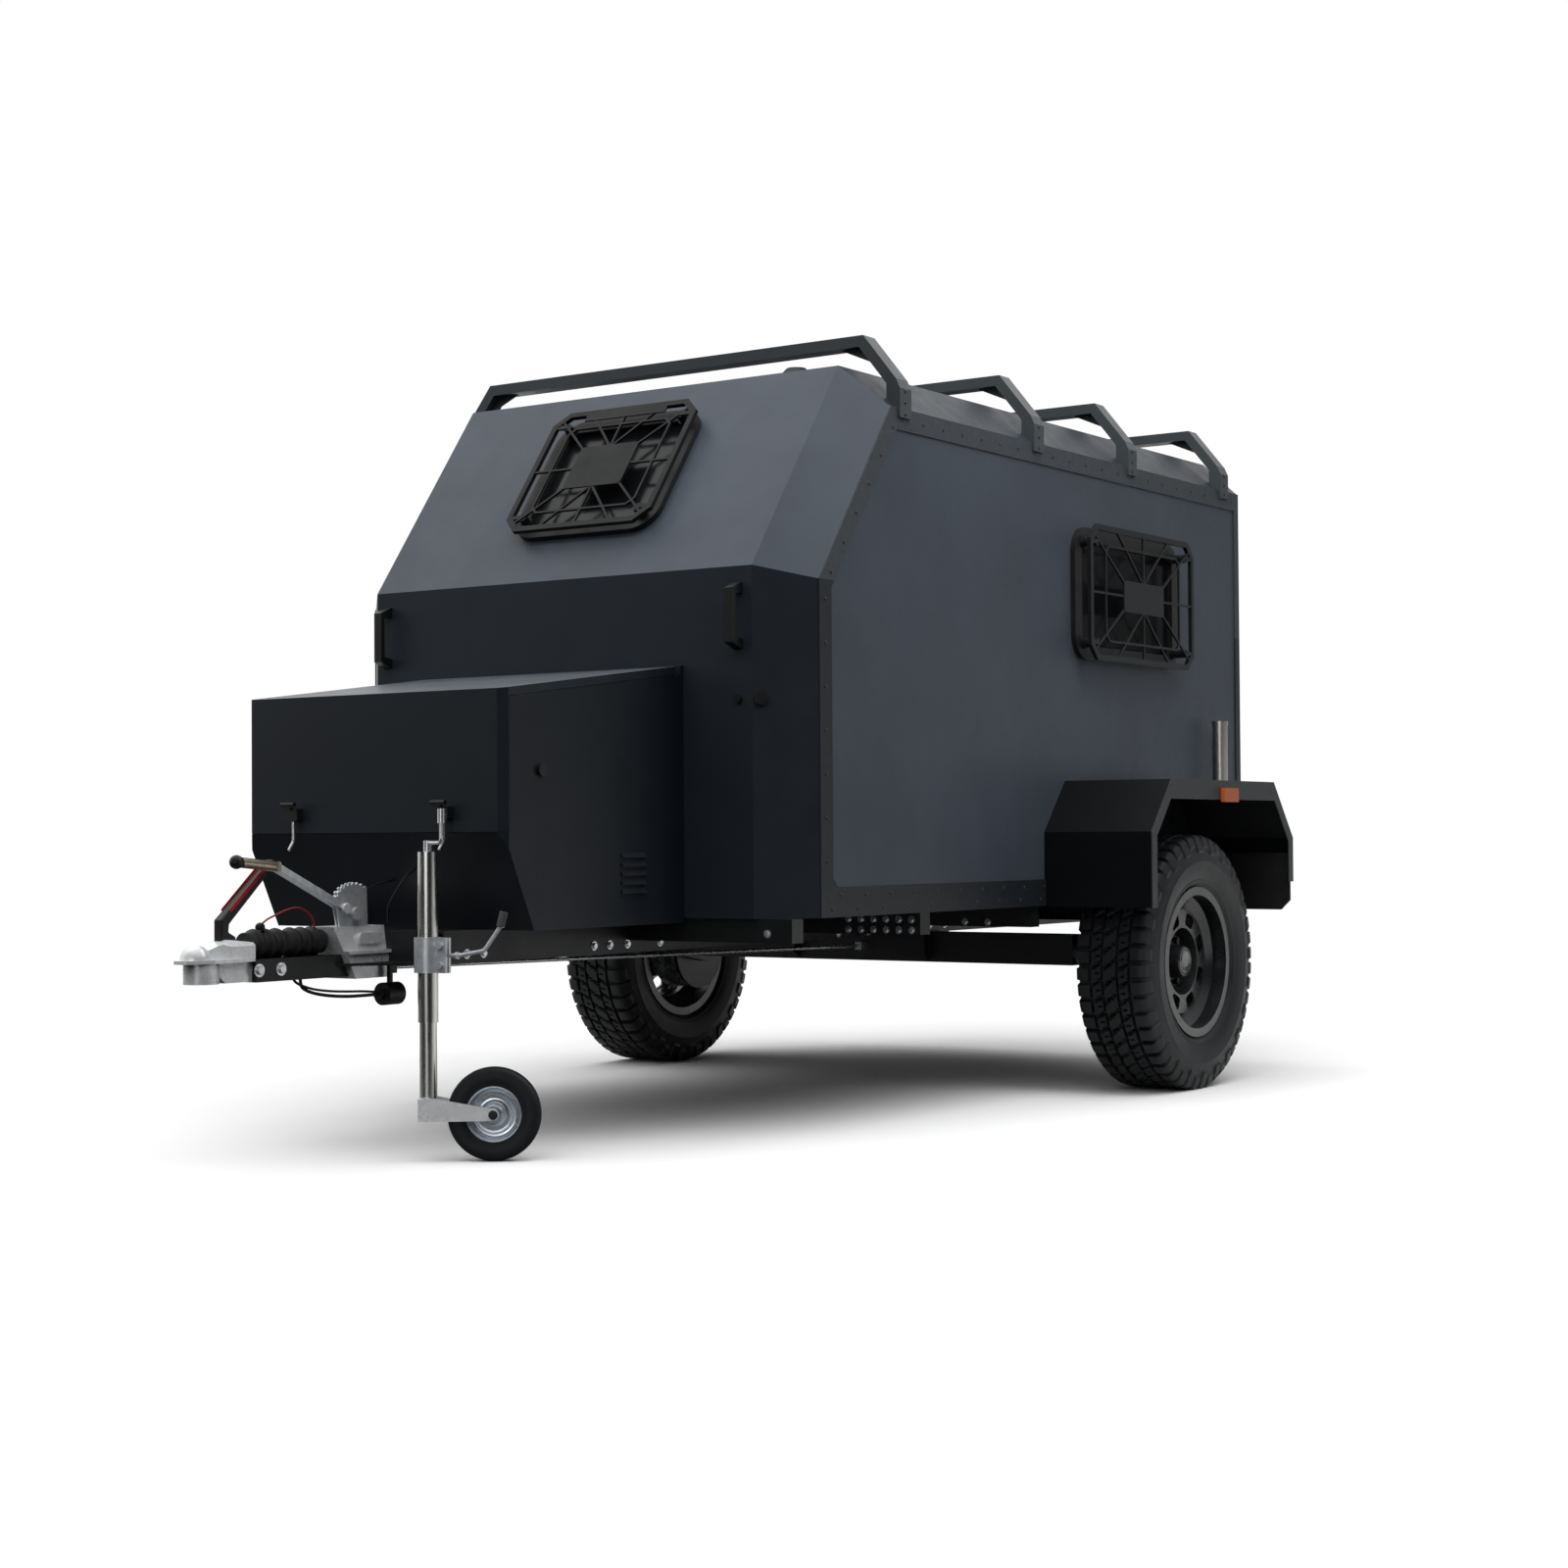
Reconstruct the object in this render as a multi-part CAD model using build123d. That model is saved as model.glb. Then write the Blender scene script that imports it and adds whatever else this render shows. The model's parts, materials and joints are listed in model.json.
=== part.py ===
from build123d import *
import math
import os

# Off-road cargo trailer: a single-axle box trailer with a faceted body, a lockable nose
# box on the drawbar, four roof hoops, guarded windows and an overrun coupling.
# Millimetres. +X is the trailer's left side, +Y points rearwards and +Z up.
# Everything is drawn with y = 0 on the body's front face, and place() moves it at the end
# so that the origin lies on the ground under the middle of the whole trailer.

# Body outline
BODY_HALF_W = 753.0
CORNER_CUT_W = 119.0
FRONT_HALF_W = BODY_HALF_W - CORNER_CUT_W
CORNER_Y = 120.0
BODY_BOTTOM_Z = 547.0
FRONT_BREAK_Z = 1431.0
FACET_BREAK_Z = 1399.0
ROOF_Z = 1990.0
ROOF_CHAMFER_H = 110.0
ROOF_SIDE_Z = ROOF_Z - ROOF_CHAMFER_H
SLOPE_TOP_Y = 404.0
FACET_LEAN_L = 64.0
FACET_TOP_Y = SLOPE_TOP_Y + FACET_LEAN_L
BODY_REAR_Y = 2656.0
WALL_T = 30.0
OVERRUN_L = 60.0
SEAM_SETBACK_L = 17.0

# Edge trims on the body's sides
TRIM_T = 4.0
TRIM_FRONT_W = 56.0
TRIM_SILL_H = 76.0
TRIM_TOP_H = 58.0
TRIM_REAR_W = 34.0
TRIM_CORNER_W = 22.0

# Windows: a frame in the wall, a pane and a stand-off guard
SIDE_WINDOW_Y = 1815.0
SIDE_WINDOW_Z = 1466.0
SIDE_GUARD_W = 700.0
SIDE_GUARD_H = 402.0
SIDE_GUARD_STAND_H = 66.0
SIDE_PLATE_W = 268.0
SIDE_PLATE_H = 94.0
FRONT_WINDOW_X = 20.0
FRONT_WINDOW_UP = 362.0
FRONT_GUARD_W = 492.0
FRONT_GUARD_H = 436.0
FRONT_GUARD_STAND_H = 46.0
FRONT_PLATE_W = 196.0
FRONT_PLATE_H = 150.0
WINDOW_MARGIN_W = 34.0
WINDOW_LIP_W = 30.0
WINDOW_FRAME_T = 16.0
WINDOW_CORNER_R = 46.0
SLEEVE_T = 12.0
PANE_T = 5.0
GUARD_T = 4.0
GUARD_BAND_W = 17.0
GUARD_BAND_T = 12.0
GUARD_TAB_H = 22.0
GUARD_TAB_SHARE = 0.56
GUARD_CORNER_W = 44.0
GUARD_BAR_W = 6.5
GUARD_BAR_T = 6.0
GUARD_RING_SHARE = 0.72
GUARD_SPOKE_SHARE = 0.52
POST_R = 13.0
POST_INSET_W = 52.0
POST_FOOT_R = 17.0
POST_FOOT_T = 10.0

# Rear wall and its door
DOOR_JAMB_W = 157.0
DOOR_HALF_W = BODY_HALF_W - DOOR_JAMB_W
DOOR_SILL_H = 65.0
DOOR_LOW_Z = BODY_BOTTOM_Z + DOOR_SILL_H
DOOR_HEAD_H = 34.0
DOOR_HIGH_Z = ROOF_SIDE_Z - DOOR_HEAD_H
DOOR_GAP_W = 6.0
DOOR_T = 26.0
DOOR_HINGE_OUT_L = 14.0
HINGE_R = 8.0
HINGE_PIN_R = 4.0
HINGE_PLAY_R = 0.1
KNUCKLE_H = 26.0
HINGE_LEAF_W = 70.0
KNUCKLE_GAP = 1.0
HINGE_LEAF_T = 4.0
DOOR_HANDLE_OUT_L = 32.0
DOOR_HANDLE_W = 120.0
DOOR_HANDLE_H = 60.0
DOOR_HINGE_SHARES = (0.17, 0.5, 0.86)

# Roof hoops
HOOP_RISE_H = 94.0
HOOP_TOP_Z = ROOF_Z + HOOP_RISE_H
HOOP_LEAN_W = 102.0
HOOP_TOP_HALF_W = BODY_HALF_W - HOOP_LEAN_W
HOOP_POST_H = 78.0
HOOP_KNEE_Z = ROOF_SIDE_Z + HOOP_POST_H
HOOP_BAR_T = 30.0
HOOP_BAR_W = 58.0
HOOP_FRONT_GAP_L = 60.0
HOOP_REAR_GAP_L = 124.0
HOOP_FRONT_Y = FACET_TOP_Y + HOOP_FRONT_GAP_L
HOOP_REAR_Y = BODY_REAR_Y - HOOP_REAR_GAP_L
HOOP_SHARES = (0.0, 0.3663, 0.6647, 1.0)
GUSSET_W = 70.0
FOOT_TAB_H = 26.0
FOOT_TAB_T = 8.0
GLAND_X = 440.0
GLAND_SETBACK_L = 90.0
GLAND_R = 52.0
GLAND_H = 26.0
GUSSET_T = 6.0

# Chassis under the body
RAIL_HALF_GAP_W = 235.0
RAIL_W = 50.0
RAIL_H = 80.0
CROSS_CAP_T = 12.0
RAIL_HIGH_Z = BODY_BOTTOM_Z - CROSS_CAP_T
RAIL_LOW_Z = RAIL_HIGH_Z - RAIL_H
RAIL_T = 6.0
BOX_LENGTH_L = 700.0
RAIL_FRONT_Y = -BOX_LENGTH_L
RAIL_SETBACK_L = 56.0
RAIL_REAR_Y = BODY_REAR_Y - RAIL_SETBACK_L
CROSS_H = 60.0
CROSS_LOW_Z = BODY_BOTTOM_Z - CROSS_H
CROSS_W = 50.0
CROSS_SETBACK_W = 11.0
CROSS_HALF_SPAN_W = BODY_HALF_W - CROSS_SETBACK_W
CROSS_FRONT_Y = 10.0
CROSS_LAST_GAP_L = 236.0
CROSS_SHARES = (0.0, 0.2531, 0.5062, 0.7552, 1.0)
DRAW_REACH_L = 412.0
DRAW_FRONT_Y = RAIL_FRONT_Y - DRAW_REACH_L
DRAW_HALF_W = 40.0
DRAW_DROP_H = 25.0
DRAW_H = 52.0
DRAW_LOW_Z = RAIL_LOW_Z - DRAW_DROP_H
DRAW_HIGH_Z = DRAW_LOW_Z + DRAW_H
GUSSET_PLATE_L = 160.0
GUSSET_PLATE_Y = RAIL_FRONT_Y - GUSSET_PLATE_L

# Axle, arms and hubs
WHEEL_Y = 1697.0
ARM_LENGTH_L = 157.0
AXLE_Y = WHEEL_Y - ARM_LENGTH_L
AXLE_BEAM_W = 90.0
WHEEL_STAND_W = 189.5
WHEEL_X = BODY_HALF_W + WHEEL_STAND_W
AXLE_SETBACK_W = 207.5
AXLE_HALF_SPAN = WHEEL_X - AXLE_SETBACK_W
ARM_T = 40.0
ARM_PIVOT_R = 46.0
ARM_END_R = 38.0
SPINDLE_R = 18.0
BRACKET_L = 150.0
BRACKET_T = 8.0
BRACKET_CORNER_W = 22.0
BACKING_R = 128.0
BACKING_T = 8.0
DRUM_R = 124.0
DRUM_T = 92.0
HUB_PLAY_R = 0.1
HUB_SNOUT_R = 31.5
HUB_CAP_OUT_L = 58.0

# Wheels
TYRE_R = 374.5
TYRE_HALF_W = 122.5
BEAD_GAP_W = 0.5
BEAD_RISE_H = 4.0
BEAD_TUCK_W = 6.0
BEAD_H = 26.0
BELLY_H = 74.0
SHOULDER_TUCK_W = 3.0
SHOULDER_H = 32.0
SHOULDER_W = 16.0
LUG_H = 12.0
LUG_CROWN_H = 2.0
LUG_W = 56.0
LUG_LONG_X = 58.0
LUG_SHORT_X = 74.0
BLOCK_HALF_W = 34.0
BLOCK_L = 62.0
BLOCK_SLANT_W = 8.0
TREAD_COUNT = 24
TREAD_T = 22.0
TYRE_WALL_T = 14.0
RIM_LIP_R = 220.7
RIM_HALF_W = 102.0
RIM_SEAT_R = 203.2
RIM_WELL_R = 168.0
RIM_T = 7.0
DISC_T = 8.0
DISC_BORE_R = 32.0
SLOT_COUNT = 8
SLOT_R = 12.0
SLOT_H = 38.0
SLOT_W = 52.0
SLOT_PLACE_R = 126.0
DISC_RISE_L = 44.0
SKIRT_L = 22.0
NUT_COUNT = 6
NUT_PLACE_R = 69.85
NUT_R = 11.0
NUT_H = 18.0

# Fenders
FENDER_REACH_W = 343.0
FENDER_OUT_X = BODY_HALF_W + FENDER_REACH_W
FENDER_T = 4.0
FENDER_LIP_H = 33.0
FENDER_TOP_LIP_H = 57.0
FENDER_ROOM_H = 160.0
FENDER_TOP_Z = 2 * TYRE_R + FENDER_ROOM_H
FENDER_KNEE_DROP_H = 150.0
FENDER_KNEE_Z = FENDER_TOP_Z - FENDER_KNEE_DROP_H
FENDER_FRONT_H = 215.0
FENDER_LOW_Z = FENDER_KNEE_Z - FENDER_FRONT_H
FENDER_FRONT_L = 403.0
FENDER_FRONT_Y = WHEEL_Y - FENDER_FRONT_L
FENDER_FRONT_RUN_L = 130.0
FENDER_TOP_FRONT_Y = FENDER_FRONT_Y + FENDER_FRONT_RUN_L
FENDER_TOP_L = 720.0
FENDER_TOP_REAR_Y = FENDER_TOP_FRONT_Y + FENDER_TOP_L
FENDER_REAR_RUN_L = 144.0
FENDER_REAR_Y = FENDER_TOP_REAR_Y + FENDER_REAR_RUN_L
FENDER_REAR_DROP_H = 172.0
FENDER_REAR_KNEE_Z = FENDER_TOP_Z - FENDER_REAR_DROP_H
FENDER_REAR_H = 137.0
FENDER_REAR_LOW_Z = FENDER_REAR_KNEE_Z - FENDER_REAR_H
FLAP_T = 8.0
FLAP_HANG_H = 88.0
FLAP_LOW_Z = FENDER_REAR_LOW_Z - FLAP_HANG_H
FLAP_LAP_H = 90.0
FLAP_HIGH_Z = FENDER_REAR_LOW_Z + FLAP_LAP_H
FLAP_GAP_W = 47.0
FLAP_IN_X = BODY_HALF_W + FLAP_GAP_W
FLAP_CORNER_W = 30.0
MARKER_BACK_L = 107.0
MARKER_Y = WHEEL_Y + MARKER_BACK_L
MARKER_W = 96.0
MARKER_H = 42.0
MARKER_DROP_H = 43.0
MARKER_T = 14.0
TAIL_LAMP_INSET_W = 73.0
TAIL_LAMP_X = BODY_HALF_W - TAIL_LAMP_INSET_W
TAIL_LAMP_W = 84.0
TAIL_LAMP_H = 150.0
TAIL_LAMP_T = 24.0
TAIL_LAMP_UP_H = 113.0
TAIL_LAMP_Z = BODY_BOTTOM_Z + TAIL_LAMP_UP_H

# Nose box and its lid
BOX_HALF_W = 420.0
BOX_FRONT_Y = -BOX_LENGTH_L
BOX_FRONT_TOP_Z = 1101.0
BOX_RISE_H = 87.0
BOX_REAR_TOP_Z = BOX_FRONT_TOP_Z + BOX_RISE_H
BOX_BREAK_Z = 767.5
BOX_UNDERCUT_L = 109.0
BOX_BOTTOM_FRONT_Y = BOX_FRONT_Y + BOX_UNDERCUT_L
BOX_CORNER_W = 19.0
BOX_WALL_T = 12.0
LID_T = 20.0
LID_GAP_W = 1.0
LID_HINGE_Y = -23.0
LID_HINGE_DEPTH_H = 9.0
LID_HINGE_INSET_W = 120.0
LID_HINGE_X = BOX_HALF_W - LID_HINGE_INSET_W
LID_REAR_GAP_L = 34.0
GUTTER_DEPTH_H = 24.0
LOUVRE_ROWS = 5
LOUVRE_LOW_Z = 614.0
LOUVRE_H = 13.0
LOUVRE_GAP_H = 9.0
LOUVRE_L = 97.0
LOUVRE_OUT_L = 7.0
LOUVRE_REAR_Y = -163.0
GUTTER_T = 6.0
LATCH_INSET_W = 175.0
LATCH_X = BOX_HALF_W - LATCH_INSET_W

# Grab handles and locks on the front wall
GRAB_INSET_W = 42.0
GRAB_X = FRONT_HALF_W - GRAB_INSET_W
GRAB_LOW_Z = 1220.0
GRAB_HIGH_Z = 1391.0
GRAB_OUT_L = 44.0
GRAB_W = 26.0
GRAB_BAR_T = 14.0
GRAB_SLANT_H = 18.0
LOCK_R = 21.0
LOCK_OUT_L = 9.0
LOCK_Z = 1098.0

# Coupling, its housing and the handbrake
HEAD_LENGTH_L = 128.0
BALL_Y = DRAW_FRONT_Y - HEAD_LENGTH_L
NOSE_LENGTH_L = 67.0
NOSE_Y = BALL_Y - NOSE_LENGTH_L
BALL_R = 25.4
SOCKET_R = 40.0
SOCKET_LOW_Z = 432.0
BALL_Z = 462.0
FLANGE_Z = 478.0
FLANGE_T = 8.0
HEAD_HALF_W = 38.0
HEAD_TOP_Z = 529.0
SHAFT_Z = 514.0
BELLOWS_R = 28.0
BELLOWS_RIB_R = 36.0
BELLOWS_RIBS = 6
HOUSING_LENGTH_L = 171.0
HOUSING_FRONT_Y = RAIL_FRONT_Y - HOUSING_LENGTH_L
HOUSING_HALF_W = 60.0
HOUSING_TOP_Z = 547.0
HOUSING_LOW_Z = 424.0
RIDGE_T = 8.0
LEVER_X = 36.0
GRIP_R = 12.0

# Jockey wheel
JOCKEY_INSET_W = 9.3
JOCKEY_X = RAIL_HALF_GAP_W - JOCKEY_INSET_W
JOCKEY_LEAD_L = 45.0
JOCKEY_Y = RAIL_FRONT_Y - JOCKEY_LEAD_L
JOCKEY_TURN = 34.27
JOCKEY_TRAIL_L = 154.0
JOCKEY_R = 110.0
JOCKEY_HALF_W = 23.0
JOCKEY_RIM_R = 66.0
JOCKEY_BEAD_W = 4.5
JOCKEY_WALL_H = 12.0
JOCKEY_CROWN_H = 14.0
JOCKEY_LIP_H = 4.0
JOCKEY_DISH_H = 10.0
JOCKEY_TUBE_R = 24.0
JOCKEY_TUBE_T = 3.0
JOCKEY_TUBE_LOW_Z = 324.0
JOCKEY_TUBE_TOP_Z = 722.0
JOCKEY_PLAY_R = 0.5
FORK_LOW_Z = 95.0
FORK_HIGH_Z = 148.0
FORK_T = 4.0
FORK_GAP_W = 6.0
INNER_TOP_Z = 495.0
FORK_PIN_R = 12.0
FORK_PIN_TOP_Z = 210.0
CRANK_Z = 743.0
CRANK_REACH_L = 72.0
CRANK_TURN = -56.0
CRANK_BEND_R = 10.0
CRANK_R = 5.0
CRANK_GRIP_R = 9.0
CRANK_GRIP_H = 34.0
CRANK_TOP_Z = 822.0
CLAMP_LOW_Z = 440.0
CLAMP_HIGH_Z = 522.0
CLAMP_T = 8.0

# Rear prop stands
PROP_STAND_W = 47.0
PROP_X = BODY_HALF_W + PROP_STAND_W
PROP_SETBACK_L = 256.0
PROP_Y = BODY_REAR_Y - PROP_SETBACK_L
PROP_R = 24.0
PROP_LOW_Z = 420.0
PROP_HIGH_Z = 1100.0
PROP_CAP_H = 14.0
PROP_FOOT_R = 46.0
PROP_FOOT_T = 12.0
PROP_CLAMP_LOW_Z = 580.0
PROP_CLAMP_HIGH_Z = 680.0

# The whole trailer's middle, which becomes y = 0
REAR_REACH_Y = BODY_REAR_Y + DOOR_HANDLE_OUT_L
ORIGIN_Y = (NOSE_Y + REAR_REACH_Y) / 2

os.makedirs("parts", exist_ok=True)


def prism_yz(points, x0, x1):
    """A Y-Z outline drawn out along X."""
    face = make_face(Polyline(*points, close=True))
    return extrude(Plane.YZ.offset(x0) * face, amount=x1 - x0)


def prism_xy(points, z0, z1):
    """An X-Y outline drawn out along Z."""
    face = make_face(Polyline(*points, close=True))
    return extrude(Plane.XY.offset(z0) * face, amount=z1 - z0)


def prism_xz(points, y0, y1):
    """An X-Z outline drawn out along Y."""
    face = make_face(Polyline(*points, close=True))
    plane = Plane(origin=(0, y1, 0), x_dir=(1, 0, 0), z_dir=(0, -1, 0))
    return extrude(plane * face, amount=y1 - y0)


def block(x0, x1, y0, y1, z0, z1):
    """A box between two corners."""
    return Pos((x0 + x1) / 2, (y0 + y1) / 2, (z0 + z1) / 2) * Box(x1 - x0, y1 - y0, z1 - z0)


def rod(start, end, radius):
    """A round bar between two points."""
    run = Vector(*end) - Vector(*start)
    plane = Plane(origin=start, z_dir=run)
    return extrude(plane * Circle(radius), amount=run.length)


def bent_bar(points, radius, bend):
    """A round bar along straight runs joined by arcs of one radius."""
    path = FilletPolyline(*points, radius=bend)
    return sweep(Plane(origin=path @ 0, z_dir=path % 0) * Circle(radius), path=path)


def turned_x(points, x, y, z):
    """A profile of (x, radius) points turned about an axis along X."""
    face = make_face(Polyline(*points, close=True))
    return Pos(x, y, z) * revolve(Plane.XZ * face, axis=Axis.X)


def turned_y(points, x, y, z):
    """A profile of (y, radius) points turned about an axis along Y."""
    face = make_face(Polyline(*points, close=True))
    return Pos(x, y, z) * revolve(Plane.YZ * face, axis=Axis.Y)


def mirrored(shape):
    """The same piece on the trailer's other side."""
    return mirror(shape, about=Plane.YZ)


def place(name, *shapes):
    """Writes a node's solids, moved into the trailer's own frame."""
    solids = [solid for shape in shapes for solid in shape.solids()]
    moved = [solid.moved(Location((0, -ORIGIN_Y, 0))) for solid in solids]
    body = moved[0] if len(moved) == 1 else Compound(moved)
    body.label = name
    export_step(body, f"parts/{name}.step")


# Body shell, with each face moved inwards by one inset


def body_form(inset):
    """The faceted body, each face moved inwards by the inset."""
    side = [(0, BODY_BOTTOM_Z), (0, FRONT_BREAK_Z), (SLOPE_TOP_Y, ROOF_Z),
            (BODY_REAR_Y, ROOF_Z), (BODY_REAR_Y, BODY_BOTTOM_Z)]
    plan = [(-FRONT_HALF_W, 0), (FRONT_HALF_W, 0), (BODY_HALF_W, CORNER_Y),
            (BODY_HALF_W, BODY_REAR_Y), (-BODY_HALF_W, BODY_REAR_Y), (-BODY_HALF_W, CORNER_Y)]
    cross = [(-BODY_HALF_W, BODY_BOTTOM_Z), (-BODY_HALF_W, ROOF_SIDE_Z), (-FRONT_HALF_W, ROOF_Z),
             (FRONT_HALF_W, ROOF_Z), (BODY_HALF_W, ROOF_SIDE_Z), (BODY_HALF_W, BODY_BOTTOM_Z)]
    outlines = []
    for points in (side, plan, cross):
        face = make_face(Polyline(*points, close=True))
        if inset:
            face = offset(face, -inset, kind=Kind.INTERSECTION)
        outlines.append(face)
    side_form = extrude(Plane.YZ.offset(-BODY_HALF_W) * outlines[0], amount=2 * BODY_HALF_W)
    plan_form = extrude(Plane.XY * outlines[1], amount=ROOF_Z + OVERRUN_L)
    back = Plane(origin=(0, BODY_REAR_Y, 0), x_dir=(1, 0, 0), z_dir=(0, -1, 0))
    cross_form = extrude(back * outlines[2], amount=BODY_REAR_Y)
    form = side_form & plan_form & cross_form
    low_front = Vector(FRONT_HALF_W, 0, FRONT_BREAK_Z)
    high_front = Vector(FRONT_HALF_W, SLOPE_TOP_Y, ROOF_Z)
    low_side = Vector(BODY_HALF_W, CORNER_Y, FACET_BREAK_Z)
    normal = (high_front - low_front).cross(low_side - low_front).normalized()
    if normal.X < 0:
        normal = -normal
    for side_sign in (1, -1):
        out = Vector(side_sign * normal.X, normal.Y, normal.Z)
        start = Vector(side_sign * low_front.X, low_front.Y, low_front.Z) - out * inset
        form = split(form, bisect_by=Plane(origin=start, z_dir=out), keep=Keep.BOTTOM)
    return form


body_outer = body_form(0)
body_inner = body_form(WALL_T)
shell = body_outer - body_inner

FRONT_SEAM_RISE = (FRONT_BREAK_Z - FACET_BREAK_Z) / CORNER_Y
ROOF_SEAM_RUN = (FACET_TOP_Y - SLOPE_TOP_Y) / (ROOF_Z - ROOF_SIDE_Z)
floor_top = BODY_BOTTOM_Z + WALL_T
seam_front = (-OVERRUN_L, FRONT_BREAK_Z + OVERRUN_L * FRONT_SEAM_RISE)
seam_y = CORNER_Y + SEAM_SETBACK_L
seam_facet = (seam_y, FACET_BREAK_Z - SEAM_SETBACK_L * FRONT_SEAM_RISE)
seam_top_z = ROOF_SIDE_Z - SEAM_SETBACK_L
seam_side_top = (FACET_TOP_Y + SEAM_SETBACK_L, seam_top_z)
seam_roof_low = (FACET_TOP_Y, ROOF_SIDE_Z)
seam_roof = (SLOPE_TOP_Y - OVERRUN_L * ROOF_SEAM_RUN, ROOF_Z + OVERRUN_L)
door_wall_y = BODY_REAR_Y - WALL_T
far_x = BODY_HALF_W + OVERRUN_L

# The side panels' seams lie just past the folds, so each side is one flat panel
front_zone = prism_yz([(-OVERRUN_L, floor_top), seam_front, seam_facet, (seam_y, floor_top)], -far_x, far_x)
slope_zone = prism_yz(
    [seam_front, seam_facet, seam_side_top, seam_roof_low, seam_roof, (-OVERRUN_L, ROOF_Z + OVERRUN_L)],
    -far_x, far_x)
roof_zone = prism_yz(
    [seam_side_top, seam_roof_low, seam_roof, (door_wall_y, ROOF_Z + OVERRUN_L), (door_wall_y, seam_top_z)],
    -far_x, far_x)
side_zone_points = [(seam_y, floor_top), seam_facet, seam_side_top, (door_wall_y, seam_top_z), (door_wall_y,
                                                                                                floor_top)]
rear_zone = block(-far_x, far_x, door_wall_y, BODY_REAR_Y + OVERRUN_L, floor_top, ROOF_Z + OVERRUN_L)

# Window planes, each with +Z pointing outwards and +Y up the wall
slope_length = math.hypot(SLOPE_TOP_Y, ROOF_Z - FRONT_BREAK_Z)
slope_cos = SLOPE_TOP_Y / slope_length
slope_sin = (ROOF_Z - FRONT_BREAK_Z) / slope_length
front_window_plane = Plane(
    origin=(FRONT_WINDOW_X, FRONT_WINDOW_UP * slope_cos, FRONT_BREAK_Z + FRONT_WINDOW_UP * slope_sin),
    x_dir=(1, 0, 0), z_dir=(0, -slope_sin, slope_cos))
left_window_plane = Plane(
    origin=(BODY_HALF_W, SIDE_WINDOW_Y, SIDE_WINDOW_Z), x_dir=(0, 1, 0), z_dir=(1, 0, 0))
right_window_plane = Plane(
    origin=(-BODY_HALF_W, SIDE_WINDOW_Y, SIDE_WINDOW_Z), x_dir=(0, -1, 0), z_dir=(-1, 0, 0))


def window_opening(plane, width, height):
    """The hole that a window needs in its wall."""
    hole = RectangleRounded(width - 2 * WINDOW_MARGIN_W, height - 2 * WINDOW_MARGIN_W, WINDOW_CORNER_R)
    return extrude(plane * hole, amount=WALL_T + OVERRUN_L, both=True)


def window_frame(plane, width, height):
    """A flanged frame that lines the hole and laps the wall's outer face."""
    hole_w = width - 2 * WINDOW_MARGIN_W
    hole_h = height - 2 * WINDOW_MARGIN_W
    lap = RectangleRounded(
        hole_w + 2 * WINDOW_LIP_W, hole_h + 2 * WINDOW_LIP_W,
        WINDOW_CORNER_R + WINDOW_LIP_W)
    hole = RectangleRounded(hole_w, hole_h, WINDOW_CORNER_R)
    clear = RectangleRounded(hole_w - 2 * SLEEVE_T, hole_h - 2 * SLEEVE_T, WINDOW_CORNER_R - SLEEVE_T)
    flange = extrude(plane * (lap - clear), amount=WINDOW_FRAME_T)
    sleeve = extrude(plane * (hole - clear), amount=-WALL_T)
    return flange + sleeve


def window_pane(plane, width, height):
    """The pane, held inside the frame's sleeve."""
    inner_w = width - 2 * WINDOW_MARGIN_W - 2 * SLEEVE_T
    inner_h = height - 2 * WINDOW_MARGIN_W - 2 * SLEEVE_T
    sheet = RectangleRounded(inner_w, inner_h, WINDOW_CORNER_R - SLEEVE_T)
    return extrude(plane * sheet, amount=-PANE_T)


def flat_bar(start, end, width):
    """A flat strip between two points, as a sketch."""
    middle = ((start[0] + end[0]) / 2, (start[1] + end[1]) / 2)
    length = math.dist(start, end)
    angle = math.degrees(math.atan2(end[1] - start[1], end[0] - start[0]))
    return Pos(*middle) * Rot(0, 0, angle) * Rectangle(length, width)


def eight_sided(width, height, corner):
    """A rectangle with its corners cut off, as a sketch."""
    w, h = width / 2, height / 2
    return make_face(Polyline(
        (-w + corner, -h), (w - corner, -h), (w, -h + corner), (w, h - corner),
        (w - corner, h), (-w + corner, h), (-w, h - corner), (-w, -h + corner), close=True))


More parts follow.
